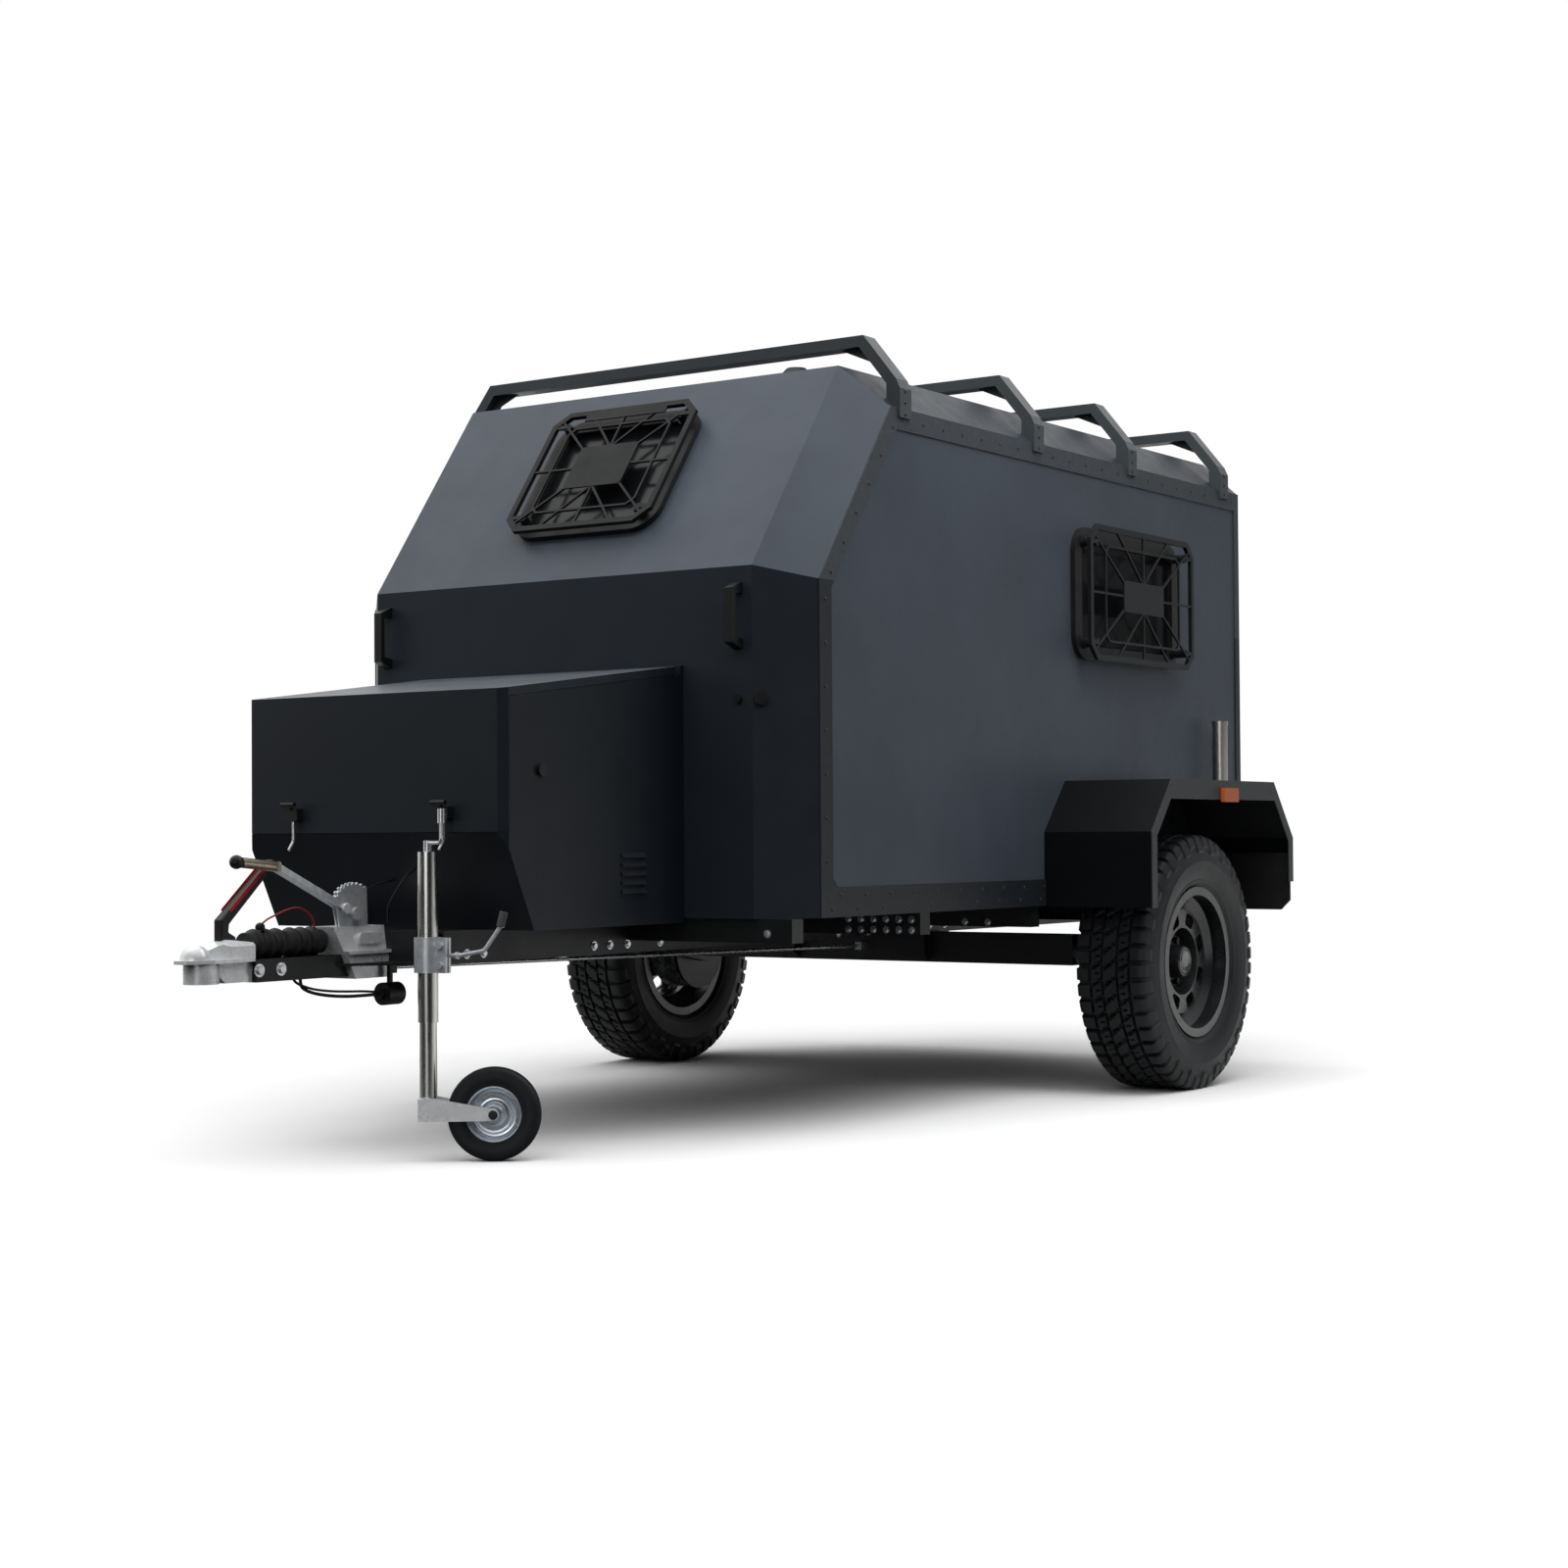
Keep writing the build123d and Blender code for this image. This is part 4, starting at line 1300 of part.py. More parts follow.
TLEVER_GRIP_R = 10.0
tlever_z = (CLAMP_LOW_Z + CLAMP_HIGH_Z) / 2
tlever_start = (JOCKEY_X + clamp_out, JOCKEY_Y + CLAMP_EAR_T, tlever_z)
tlever_knee = (tlever_start[0] + CLAMP_EAR_W + TLEVER_OUT_L, tlever_start[1], tlever_z)
tlever_bend = tuple(a + b for a, b in zip(tlever_knee, TLEVER_RUN))
tlever_top = tuple(a + b for a, b in zip(tlever_bend, TLEVER_RISE))
tlever_end = tuple(a + b for a, b in zip(tlever_top, TLEVER_GRIP))
clamp = clamp + bent_bar([tlever_start, tlever_knee, tlever_bend, tlever_top], CRANK_R, TLEVER_BEND_R)
clamp = clamp + rod(tlever_top, tlever_end, TLEVER_GRIP_R)
clamp = clamp + rod(tlever_knee, (tlever_knee[0] - CLAMP_T, tlever_knee[1], tlever_z), CLAMP_T)
place("jockey_clamp", clamp)

outer_tube = rod((JOCKEY_X, JOCKEY_Y, JOCKEY_TUBE_LOW_Z), (JOCKEY_X, JOCKEY_Y, JOCKEY_TUBE_TOP_Z),
                 JOCKEY_TUBE_R)
inner_r = JOCKEY_TUBE_R - JOCKEY_TUBE_T - JOCKEY_PLAY_R
tube_depth_z = JOCKEY_TUBE_TOP_Z - 2 * JOCKEY_TUBE_R
outer_tube = outer_tube - rod((JOCKEY_X, JOCKEY_Y, JOCKEY_TUBE_LOW_Z), (JOCKEY_X, JOCKEY_Y, tube_depth_z),
                              JOCKEY_TUBE_R - JOCKEY_TUBE_T)
place("jockey_outer", outer_tube)
crank = rod((0, 0, JOCKEY_TUBE_TOP_Z), (0, 0, CRANK_Z + CRANK_R), 2 * CRANK_R)
crank = crank + bent_bar([(0, 0, CRANK_Z), (CRANK_REACH_L, 0, CRANK_Z), (CRANK_REACH_L, 0, CRANK_TOP_Z)],
                         CRANK_R, CRANK_BEND_R)
crank = crank + rod((CRANK_REACH_L, 0, CRANK_TOP_Z - CRANK_GRIP_H), (CRANK_REACH_L, 0, CRANK_TOP_Z),
                    CRANK_GRIP_R)
crank = Rot(0, 0, CRANK_TURN) * crank
place("jockey_crank", turn * crank)

fork_in_y = JOCKEY_HALF_W + FORK_GAP_W
inner_low_z = FORK_HIGH_Z + HINGE_PLAY_R
inner_tube = rod((0, 0, inner_low_z), (0, 0, INNER_TOP_Z), inner_r)
inner_tube = inner_tube - rod((0, 0, inner_low_z), (0, 0, FORK_PIN_TOP_Z + FORK_GAP_W),
                              FORK_PIN_R + HINGE_PLAY_R)
place("jockey_inner", turn * inner_tube)
post = rod((0, 0, FORK_LOW_Z), (0, 0, FORK_PIN_TOP_Z), FORK_PIN_R)
fork_sketch = make_hull((Pos(JOCKEY_TRAIL_L, JOCKEY_R) * Circle(2 * inner_r / 3)).edges()
                        + (Pos(0, (FORK_LOW_Z + FORK_HIGH_Z) / 2)
                           * Rectangle(2 * inner_r, FORK_HIGH_Z - FORK_LOW_Z)).edges())
fork = post
for side_sign in (1, -1):
    cheek_y = fork_in_y if side_sign > 0 else -fork_in_y - FORK_T
    cheek_plane = Plane(origin=(0, cheek_y + FORK_T, 0), x_dir=(1, 0, 0), z_dir=(0, -1, 0))
    fork = fork + extrude(cheek_plane * fork_sketch, amount=FORK_T)
fork = fork + block(-inner_r, inner_r / 2, -fork_in_y - FORK_T, fork_in_y + FORK_T, FORK_LOW_Z, FORK_HIGH_Z)
JOCKEY_AXLE_R = 8.0
fork = fork + rod((JOCKEY_TRAIL_L, -fork_in_y - FORK_T, JOCKEY_R), (JOCKEY_TRAIL_L, fork_in_y + FORK_T,
                                                                    JOCKEY_R), JOCKEY_AXLE_R)
place("jockey_fork", turn * fork)

jockey_tyre_profile = [
    (-JOCKEY_HALF_W + JOCKEY_BEAD_W, JOCKEY_RIM_R), (-JOCKEY_HALF_W, JOCKEY_RIM_R + JOCKEY_WALL_H),
    (-JOCKEY_HALF_W, JOCKEY_R - JOCKEY_CROWN_H), (-JOCKEY_HALF_W + 2 * JOCKEY_BEAD_W, JOCKEY_R),
    (JOCKEY_HALF_W - 2 * JOCKEY_BEAD_W, JOCKEY_R), (JOCKEY_HALF_W, JOCKEY_R - JOCKEY_CROWN_H),
    (JOCKEY_HALF_W, JOCKEY_RIM_R + JOCKEY_WALL_H), (JOCKEY_HALF_W - JOCKEY_BEAD_W, JOCKEY_RIM_R)]
jockey_tyre = Pos(JOCKEY_TRAIL_L, 0, JOCKEY_R) * Rot(0, 0, 90) * faceted_ring(jockey_tyre_profile,
                                                                              TREAD_COUNT)
rim_edge_y = JOCKEY_HALF_W - JOCKEY_BEAD_W
boss_r = 2 * JOCKEY_AXLE_R
axle_hole_r = JOCKEY_AXLE_R + HINGE_PLAY_R
half_rim = [(rim_edge_y, JOCKEY_RIM_R), (rim_edge_y, JOCKEY_RIM_R - JOCKEY_LIP_H),
            (JOCKEY_HALF_W / 4, JOCKEY_RIM_R - JOCKEY_DISH_H), (JOCKEY_HALF_W / 4, boss_r + FORK_T),
            (JOCKEY_HALF_W, boss_r), (JOCKEY_HALF_W, axle_hole_r)]
jockey_rim = turned_y(half_rim + [(-y, r) for y, r in reversed(half_rim)], JOCKEY_TRAIL_L, 0, JOCKEY_R)
place("jockey_tyre", turn * jockey_tyre)
place("jockey_rim", turn * jockey_rim)

# Rear prop stands in their clamps
prop = rod((PROP_X, PROP_Y, PROP_LOW_Z), (PROP_X, PROP_Y, PROP_HIGH_Z), PROP_R)
prop = prop + rod((PROP_X, PROP_Y, PROP_LOW_Z - PROP_FOOT_T), (PROP_X, PROP_Y, PROP_LOW_Z), PROP_FOOT_R)
prop = prop + rod((PROP_X, PROP_Y, PROP_HIGH_Z), (PROP_X, PROP_Y, PROP_HIGH_Z + PROP_CAP_H), PROP_R + 2)
place("prop_left", prop)
place("prop_right", mirrored(prop))
prop_clamp = rod((PROP_X, PROP_Y, PROP_CLAMP_LOW_Z), (PROP_X, PROP_Y, PROP_CLAMP_HIGH_Z), PROP_R + CLAMP_T)
prop_clamp = prop_clamp + block(BODY_HALF_W, PROP_X, PROP_Y - PROP_R, PROP_Y + PROP_R, PROP_CLAMP_LOW_Z,
                                PROP_CLAMP_HIGH_Z)
prop_clamp = prop_clamp - rod((PROP_X, PROP_Y, PROP_CLAMP_LOW_Z), (PROP_X, PROP_Y, PROP_CLAMP_HIGH_Z),
                              PROP_R + JOCKEY_PLAY_R)
prop_clamp = prop_clamp - trim_left
place("prop_clamps", prop_clamp, mirrored(prop_clamp))

# Trailer plug and its lead, which hang under the drawbar
LEAD_R = 4.0
PLUG_R = 27.0
PLUG_NECK_R = 13.0
PLUG_NECK_L = 16.0
PLUG_LENGTH_L = 54.0
PLUG_AT = (75.0, -756.0, 385.0)
HANGER_HALF_W = 5.0
lead_route = [(28.0, -962.0, DRAW_LOW_Z), (28.0, -962.0, 415.0), (30.0, -947.0, 403.0), (36.0, -921.0,
                                                                                         394.0),
              (47.0, -880.0, 387.0), (61.0, -836.0, 384.0), (73.0, -798.0, 384.5), PLUG_AT]


def cord(route, radius, label):
    """A round cord along straight runs joined by large tangent arcs."""
    points = [Vector(*point) for point in route]
    radii = []
    for before, here, after in zip(points, points[1:], points[2:]):
        turn_angle = (here - before).get_angle(after - here)
        run = min((here - before).length, (after - here).length)
        radii.append(0.45 * run / math.tan(math.radians(turn_angle) / 2))
    path = FilletPolyline(*points, radius=radii)
    start = path ^ 0
    solid = sweep(Plane(origin=start.position, z_dir=path % 0) * Circle(radius), path=path)
    print(label, "length", round(path.length, 1), "radii", [round(r) for r in radii],
          "volume share", round(solid.volume / (math.pi * radius ** 2 * path.length), 4))
    return solid


lead_route[-2] = (PLUG_AT[0], lead_route[-2][1], PLUG_AT[2])
place("plug_lead", cord(lead_route, LEAD_R, "plug lead"))
plug_x, plug_y, plug_z = PLUG_AT
plug = rod(PLUG_AT, (plug_x, plug_y + PLUG_NECK_L, plug_z), PLUG_NECK_R)
plug = plug + rod((plug_x, plug_y + PLUG_NECK_L, plug_z), (plug_x, plug_y + PLUG_NECK_L + PLUG_LENGTH_L,
                                                           plug_z), PLUG_R)
hanger_y = plug_y + PLUG_NECK_L + PLUG_LENGTH_L / 2
plug = plug + block(plug_x - HANGER_HALF_W, plug_x + HANGER_HALF_W, hanger_y - HANGER_HALF_W,
                    hanger_y + HANGER_HALF_W,
                    plug_z, RAIL_LOW_Z)
place("plug", plug)
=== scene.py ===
import json
import math

import bmesh
import bpy
from mathutils import Matrix, Vector


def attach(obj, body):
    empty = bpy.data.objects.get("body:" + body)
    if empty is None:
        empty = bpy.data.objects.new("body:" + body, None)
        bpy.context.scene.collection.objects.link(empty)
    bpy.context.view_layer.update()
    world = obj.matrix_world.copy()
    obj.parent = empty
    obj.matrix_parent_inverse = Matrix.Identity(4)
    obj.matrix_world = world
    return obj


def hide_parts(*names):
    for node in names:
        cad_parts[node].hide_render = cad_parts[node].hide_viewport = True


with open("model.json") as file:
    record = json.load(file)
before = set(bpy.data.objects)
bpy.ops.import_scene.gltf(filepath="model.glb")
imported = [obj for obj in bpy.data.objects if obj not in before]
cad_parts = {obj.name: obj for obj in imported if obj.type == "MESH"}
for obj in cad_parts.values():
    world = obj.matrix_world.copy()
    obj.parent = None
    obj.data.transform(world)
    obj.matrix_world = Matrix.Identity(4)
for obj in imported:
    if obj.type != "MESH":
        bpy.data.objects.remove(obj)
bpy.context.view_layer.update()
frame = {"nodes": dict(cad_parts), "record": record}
nodes = frame["nodes"]
scene = bpy.context.scene

# Metres. Y counts back from the body's front face, which is ORIGIN_Y ahead of the frame's origin
ORIGIN_Y = 0.6905
BODY_X = 0.753
BOTTOM_Z = 0.547
CORNER_Y = 0.120
FACET_Z = 1.399
FACET_TOP_Y = 0.468
ROOF_SIDE_Z = 1.880
REAR_Y = 2.656
TRIM = 0.004
TRIM_X = BODY_X + TRIM
WHEEL_X = 0.9425
WHEEL_Y = 1.697
TYRE_R = 0.3745
SIDES = (("left", 1), ("right", -1))
UP = Vector((0, 0, 1))


def at(x, y, z):
    """A point given from the body's front face, in the frame's own coordinates."""
    return Vector((x, y - ORIGIN_Y, z))


def add_object(name, data):
    """An object of the scene."""
    obj = bpy.data.objects.new(name, data)
    scene.collection.objects.link(obj)
    return obj


# Shader helpers: each returns the output that the next one takes

# The Mix node's two inputs and its output, by kind
MIX_SOCKETS = {"FLOAT": (2, 3, 0), "RGBA": (6, 7, 2)}
# Most of a noise texture's values lie in this span
NOISE_SPAN = (0.3, 0.7)


def feed(tree, socket, value):
    """Give a socket another node's output or a plain value."""
    if isinstance(value, bpy.types.NodeSocket):
        tree.links.new(value, socket)
    else:
        socket.default_value = value


def new_material(name, color, roughness, metallic=0.0, specular=0.5, coat=0.0, coat_roughness=0.1):
    """A Principled material with its node tree and its shader."""
    mat = bpy.data.materials.new(name)
    mat.use_nodes = True
    tree = mat.node_tree
    shader = tree.nodes["Principled BSDF"]
    shader.inputs["Base Color"].default_value = (*color, 1.0)
    shader.inputs["Roughness"].default_value = roughness
    shader.inputs["Metallic"].default_value = metallic
    shader.inputs["Specular IOR Level"].default_value = specular
    shader.inputs["Coat Weight"].default_value = coat
    shader.inputs["Coat Roughness"].default_value = coat_roughness
    return mat, tree, shader


def coordinates(tree, kind):
    """Where a point of the surface or the sky is."""
    return tree.nodes.new("ShaderNodeTexCoord").outputs[kind]


def axes_of(tree, source):
    """A vector's three numbers."""
    node = tree.nodes.new("ShaderNodeSeparateXYZ")
    tree.links.new(source, node.inputs["Vector"])
    return node.outputs


def noise(tree, scale, detail, rough=0.55, stretch=(1, 1, 1)):
    """A noise texture in the object's own coordinates."""
    mapping = tree.nodes.new("ShaderNodeMapping")
    mapping.inputs["Scale"].default_value = stretch
    tex = tree.nodes.new("ShaderNodeTexNoise")
    tex.inputs["Scale"].default_value = scale
    tex.inputs["Detail"].default_value = detail
    tex.inputs["Roughness"].default_value = rough
    tree.links.new(coordinates(tree, "Object"), mapping.inputs["Vector"])
    tree.links.new(mapping.outputs["Vector"], tex.inputs["Vector"])
    return tex.outputs["Fac"]


def ramp(tree, source, stops):
    """A colour ramp with the stops (place, colour)."""
    node = tree.nodes.new("ShaderNodeValToRGB")
    elements = node.color_ramp.elements
    while len(elements) < len(stops):
        elements.new(0.5)
    for element, (place, color) in zip(elements, stops):
        element.position = place
        element.color = (*color, 1.0)
    tree.links.new(source, node.inputs["Fac"])
    return node.outputs["Color"]


def map_range(tree, source, span, levels, kind="LINEAR"):
    """A value that goes between two levels while the source goes over a span."""
    node = tree.nodes.new("ShaderNodeMapRange")
    node.interpolation_type = kind
    for name, value in zip(("From Min", "From Max", "To Min", "To Max"), (*span, *levels)):
        node.inputs[name].default_value = value
    tree.links.new(source, node.inputs["Value"])
    return node.outputs["Result"]


def eased(tree, source, span, levels):
    """A smooth step between two levels."""
    return map_range(tree, source, span, levels, "SMOOTHSTEP")


def combine(tree, kind, first, second):
    """Two values joined by a Math node."""
    node = tree.nodes.new("ShaderNodeMath")
    node.operation = kind
    tree.links.new(first, node.inputs[0])
    tree.links.new(second, node.inputs[1])
    return node.outputs["Value"]


def along(tree, source, direction):
    """How far a vector reaches along a direction."""
    node = tree.nodes.new("ShaderNodeVectorMath")
    node.operation = "DOT_PRODUCT"
    node.inputs[1].default_value = direction
    tree.links.new(source, node.inputs[0])
    return node.outputs["Value"]


def mixed(tree, kind, factor, first, second, blend="MIX"):
    """The second value where the factor is 1, else the first."""
    node = tree.nodes.new("ShaderNodeMix")
    node.data_type = kind
    node.blend_type = blend
    first_socket, second_socket, result = MIX_SOCKETS[kind]
    feed(tree, node.inputs["Factor"], factor)
    feed(tree, node.inputs[first_socket], first)
    feed(tree, node.inputs[second_socket], second)
    return node.outputs[result]


def shade(color, factor):
    """A colour made lighter or darker."""
    return tuple(min(1.0, c * factor) for c in color)


def bump(tree, shader, source, strength, distance):
    """Surface relief from a texture's value."""
    node = tree.nodes.new("ShaderNodeBump")
    node.inputs["Strength"].default_value = strength
    node.inputs["Distance"].default_value = distance
    tree.links.new(source, node.inputs["Height"])
    tree.links.new(node.outputs["Normal"], shader.inputs["Normal"])


def toned(tree, source, color, darker, lighter, span=NOISE_SPAN):
    """A colour that goes from darker to lighter over a span of a texture's values."""
    return ramp(tree, source, [(span[0], shade(color, darker)), (span[1], shade(color, lighter))])


def vary_roughness(tree, shader, source, low, high):
    """A roughness that follows a noise texture."""
    tree.links.new(map_range(tree, source, NOISE_SPAN, (low, high)), shader.inputs["Roughness"])


# Kinds of material

# How deep a bump of full strength is
SKIN_DEPTH = 0.0006
LINE_DEPTH = 0.0005
CRYSTAL_DEPTH = 0.0003
RIB_DEPTH = 0.001
# Half the width over which one band of a finish blends into the next
EDGE_BLEND = 0.0003


def painted(name, color, roughness, grain=900.0, relief=0.06, vary=0.12, specular=0.5, coat=0.0, painted_top_reflection=None):
    """Powder coat: a fine pebbled skin, faint clouds and marks, and where asked a painted reflection on
    upward faces.
    """
    mat, tree, shader = new_material(name, color, roughness, 0.0, specular, coat)
    clouds = noise(tree, scale=3.0, detail=6.0)
    tint = toned(tree, clouds, color, 1 - vary, 1 + vary)
    # Faces that look up get a lighter mottled tint: a painted reflection of the bright sky above
    if painted_top_reflection:
        reflection_mottle = noise(tree, scale=5.0, detail=7.0, rough=0.6)
        top_reflection_mask = map_range(tree, axes_of(tree, coordinates(tree, "Normal"))["Z"], (0.6, 0.95), (0.0, 1.0))
        tint = mixed(tree, "RGBA", top_reflection_mask, tint, toned(tree, reflection_mottle, painted_top_reflection, 0.75, 1.2))
    tree.links.new(tint, shader.inputs["Base Color"])
    marks = noise(tree, scale=14.0, detail=8.0, rough=0.7)
    vary_roughness(tree, shader, marks, roughness - 0.05, roughness + 0.07)
    bump(tree, shader, noise(tree, scale=grain, detail=2.0), relief, SKIN_DEPTH)
    return mat


def zinc_plated(name, color, roughness, spangle, contrast, metallic):
    """Zinc: crystals that vary a little in tone, under a skin that varies in gloss."""
    mat, tree, shader = new_material(name, color, roughness, metallic)
    cells = tree.nodes.new("ShaderNodeTexVoronoi")
    cells.inputs["Scale"].default_value = spangle
    tree.links.new(coordinates(tree, "Object"), cells.inputs["Vector"])
    channels = tree.nodes.new("ShaderNodeSeparateColor")
    tree.links.new(cells.outputs["Color"], channels.inputs["Color"])
    tint = toned(tree, channels.outputs["Red"], color, 1 - contrast, 1 + contrast, span=(0.0, 1.0))
    tree.links.new(tint, shader.inputs["Base Color"])
    dull = noise(tree, scale=25.0, detail=6.0, rough=0.6)
    vary_roughness(tree, shader, dull, roughness - 0.03, roughness + 0.05)
    bump(tree, shader, dull, 0.02, CRYSTAL_DEPTH)
    return mat


def brushed(name, color, roughness, stretch=(1, 1, 1), relief=0.08):
    """Metal with fine lines, drawn out along the axis where the stretch is small."""
    mat, tree, shader = new_material(name, color, roughness, 1.0)
    lines = noise(tree, scale=40.0, detail=4.0, rough=0.6, stretch=stretch)
    tree.links.new(toned(tree, lines, color, 0.82, 1.08, span=(0.25, 0.75)), shader.inputs["Base Color"])
    vary_roughness(tree, shader, lines, roughness - 0.08, roughness + 0.12)
    bump(tree, shader, lines, relief, LINE_DEPTH)
    return mat


def rubbery(name, color, roughness, grain=220.0, relief=0.2):
    """Rubber or moulded plastic with a fine uneven skin and a little dust."""
    mat, tree, shader = new_material(name, color, roughness, 0.0, 0.4)
    dust = noise(tree, scale=9.0, detail=8.0, rough=0.7)
    tree.links.new(toned(tree, dust, color, 0.8, 1.6, span=(0.35, 0.75)), shader.inputs["Base Color"])
    vary_roughness(tree, shader, dust, roughness - 0.06, roughness + 0.1)
    bump(tree, shader, noise(tree, scale=grain, detail=5.0, rough=0.65), relief, SKIN_DEPTH)
    return mat


def lens(name, color):
    """A ribbed lamp lens."""
    mat, tree, shader = new_material(name, color, 0.18, coat=0.6, coat_roughness=0.05)
    wave = tree.nodes.new("ShaderNodeTexWave")
    wave.bands_direction = "Y"
    wave.inputs["Scale"].default_value = 60.0
    tree.links.new(coordinates(tree, "Object"), wave.inputs["Vector"])
    tint = toned(tree, wave.outputs["Fac"], color, 0.75, 1.0, span=(0.0, 1.0))
    tree.links.new(tint, shader.inputs["Base Color"])
    bump(tree, shader, wave.outputs["Fac"], 0.3, RIB_DEPTH)
    return mat


def glazing(name, color):
    """Dark tinted acrylic."""
    mat, tree, shader = new_material(name, color, 0.14, specular=0.3)
    vary_roughness(tree, shader, noise(tree, scale=6.0, detail=5.0), 0.10, 0.20)
    return mat


def layered(tree, kind, edges, values):
    """The first value, with each next one laid over it beyond its edge."""
    level = values[0]
    for edge, value in zip(edges, values[1:]):
        level = mixed(tree, kind, edge, level, value)
    return level


def banded(name, node, axis, bands, specular=0.5):
    """A finish that changes along an axis: (from, colour, roughness, metallic), from low to high."""
    starts, tints, roughnesses, metals = zip(*bands)
    mat, tree, shader = new_material(name, tints[0], roughnesses[0], metals[0], specular)
    world = nodes[node].matrix_world
    own_axis = (world.inverted().to_3x3() @ Vector(axis)).normalized()
    reach = along(tree, coordinates(tree, "Object"), own_axis)
    own_starts = [start - Vector(axis).dot(world.translation) for start in starts[1:]]
    edges = [map_range(tree, reach, (start - EDGE_BLEND, start + EDGE_BLEND), (0.0, 1.0))
             for start in own_starts]
    wear = noise(tree, scale=60.0, detail=5.0, rough=0.6)
    grain = map_range(tree, wear, NOISE_SPAN, (0.85, 1.15))
    color = layered(tree, "RGBA", edges, [(*tint, 1.0) for tint in tints])
    tree.links.new(mixed(tree, "RGBA", 1.0, color, grain, "MULTIPLY"), shader.inputs["Base Color"])
    for socket, values in (("Roughness", roughnesses), ("Metallic", metals)):
        if len(set(values)) > 1:
            tree.links.new(layered(tree, "FLOAT", edges, values), shader.inputs[socket])
    bump(tree, shader, wear, 0.12, SKIN_DEPTH)
    return mat


# Materials

TRIM_TINT = (0.062, 0.072, 0.082)
body_grey = painted("body_grey", (0.070, 0.088, 0.114), 0.42, specular=0.30)
body_gloss = painted("body_gloss", (0.034, 0.041, 0.050), 0.42, grain=600.0, relief=0.04, vary=0.10,
                     specular=0.15)
body_dark = painted("body_dark", (0.0185, 0.0250, 0.0345), 0.40, specular=0.35)
box_dark = painted("box_dark", (0.0100, 0.0140, 0.0200), 0.38, specular=0.30)
# The lid's upward faces get a lighter mottled tint: a painted reflection of the sky on its gloss
lid_dark = painted("lid_dark", (0.0125, 0.0172, 0.0245), 0.38, specular=0.35, painted_top_reflection=(0.090, 0.105, 0.124))
lid_shader = lid_dark.node_tree.nodes["Principled BSDF"]
lid_shader.inputs["Sheen Weight"].default_value = 0.35
lid_shader.inputs["Sheen Roughness"].default_value = 0.25
lid_shader.inputs["Sheen Tint"].default_value = (0.82, 0.91, 1.0, 1.0)
trim_dark = painted("trim_dark", TRIM_TINT, 0.45, specular=0.35)
hoop_grey = painted("hoop_grey", (0.061, 0.073, 0.081), 0.42)
guard_black = painted("guard_black", (0.006, 0.007, 0.008), 0.48, specular=0.25)
black_steel = painted("black_steel", (0.007, 0.008, 0.009), 0.40)
fender_black = painted("fender_black", (0.0035, 0.0045, 0.0055), 0.42, grain=500.0, relief=0.12,
                       specular=0.20)
wheel_black = painted("wheel_black", (0.014, 0.016, 0.018), 0.28, coat=0.25)
zinc = zinc_plated("zinc", (0.78, 0.80, 0.83), 0.26, spangle=90.0, contrast=0.06, metallic=0.80)
bright_zinc = zinc_plated("bright_zinc", (0.66, 0.72, 0.80), 0.22, spangle=90.0, contrast=0.05, metallic=0.85)
cast_zinc = zinc_plated("cast_zinc", (0.88, 0.90, 0.92), 0.26, spangle=40.0, contrast=0.05, metallic=0.25)
tube_zinc = brushed("tube_zinc", (0.84, 0.84, 0.80), 0.24, stretch=(1, 1, 0.04), relief=0.01)
stainless = brushed("stainless", (0.52, 0.51, 0.48), 0.30, stretch=(1, 1, 0.05))
chrome = brushed("chrome", (0.72, 0.72, 0.72), 0.16)
tyre_rubber = rubbery("tyre_rubber", (0.0095, 0.011, 0.013), 0.50)
black_rubber = rubbery("black_rubber", (0.010, 0.010, 0.011), 0.52)
black_plastic = rubbery("black_plastic", (0.010, 0.010, 0.011), 0.40, grain=500.0, relief=0.12)
amber_lens = lens("amber_lens", (0.80, 0.16, 0.02))
red_lens = lens("red_lens", (0.40, 0.01, 0.01))
window_glass = glazing("window_glass", (0.008, 0.009, 0.011))
badge_grey = brushed("badge_grey", (0.20, 0.19, 0.18), 0.30)
red_cable = rubbery("red_cable", (0.42, 0.02, 0.02), 0.42)
red_plastic = rubbery("red_plastic", (0.45, 0.015, 0.02), 0.40, grain=500.0, relief=0.1)
white_plastic = rubbery("white_plastic", (0.70, 0.70, 0.68), 0.40, grain=500.0, relief=0.1)

# The material of each slot in the record
SLOT_LOOKS = {
    "body_grey": body_grey, "body_dark": body_dark, "trim_dark": trim_dark, "hoop_grey": hoop_grey,
    "black_steel": black_steel, "wheel_black": wheel_black, "zinc": zinc, "stainless": stainless,
    "chrome": chrome, "tyre": tyre_rubber, "black_rubber": black_rubber, "black_plastic": black_plastic,
    "amber_lens": amber_lens, "red_lens": red_lens, "window_glass": window_glass,
}

# Colours of the banded finishes, and the places where they change
CHROME_TINT = (0.78, 0.78, 0.78)
ZINC_TINT = (0.74, 0.77, 0.81)
BRONZE_TINT = (0.45, 0.38, 0.28)
BLACK_TINT = (0.010, 0.010, 0.011)
GREY_TINT = (0.10, 0.10, 0.11)
RUBBER_TINT = (0.012, 0.012, 0.012)
GUARD_TINT = (0.010, 0.0125, 0.0150)
LOW_TRIM_TINT = (0.017, 0.021, 0.026)
FENDER_TINT = (0.0030, 0.0038, 0.0046)
# A painted highlight: the outer face of each fender's lip is coloured lighter than the fender's black
LIP_HIGHLIGHT_TINT = (0.045, 0.051, 0.058)
LIP_X = 1.0925
GUARD_X = 0.776
LATCH_KNOB_Z = 0.796
CLAMP_GRIP_Z = 0.546
LEVER_GRIP_Y = -1.154 - ORIGIN_Y
LEVER_BAR_Y = -1.042 - ORIGIN_Y
FROM_START = -9.0


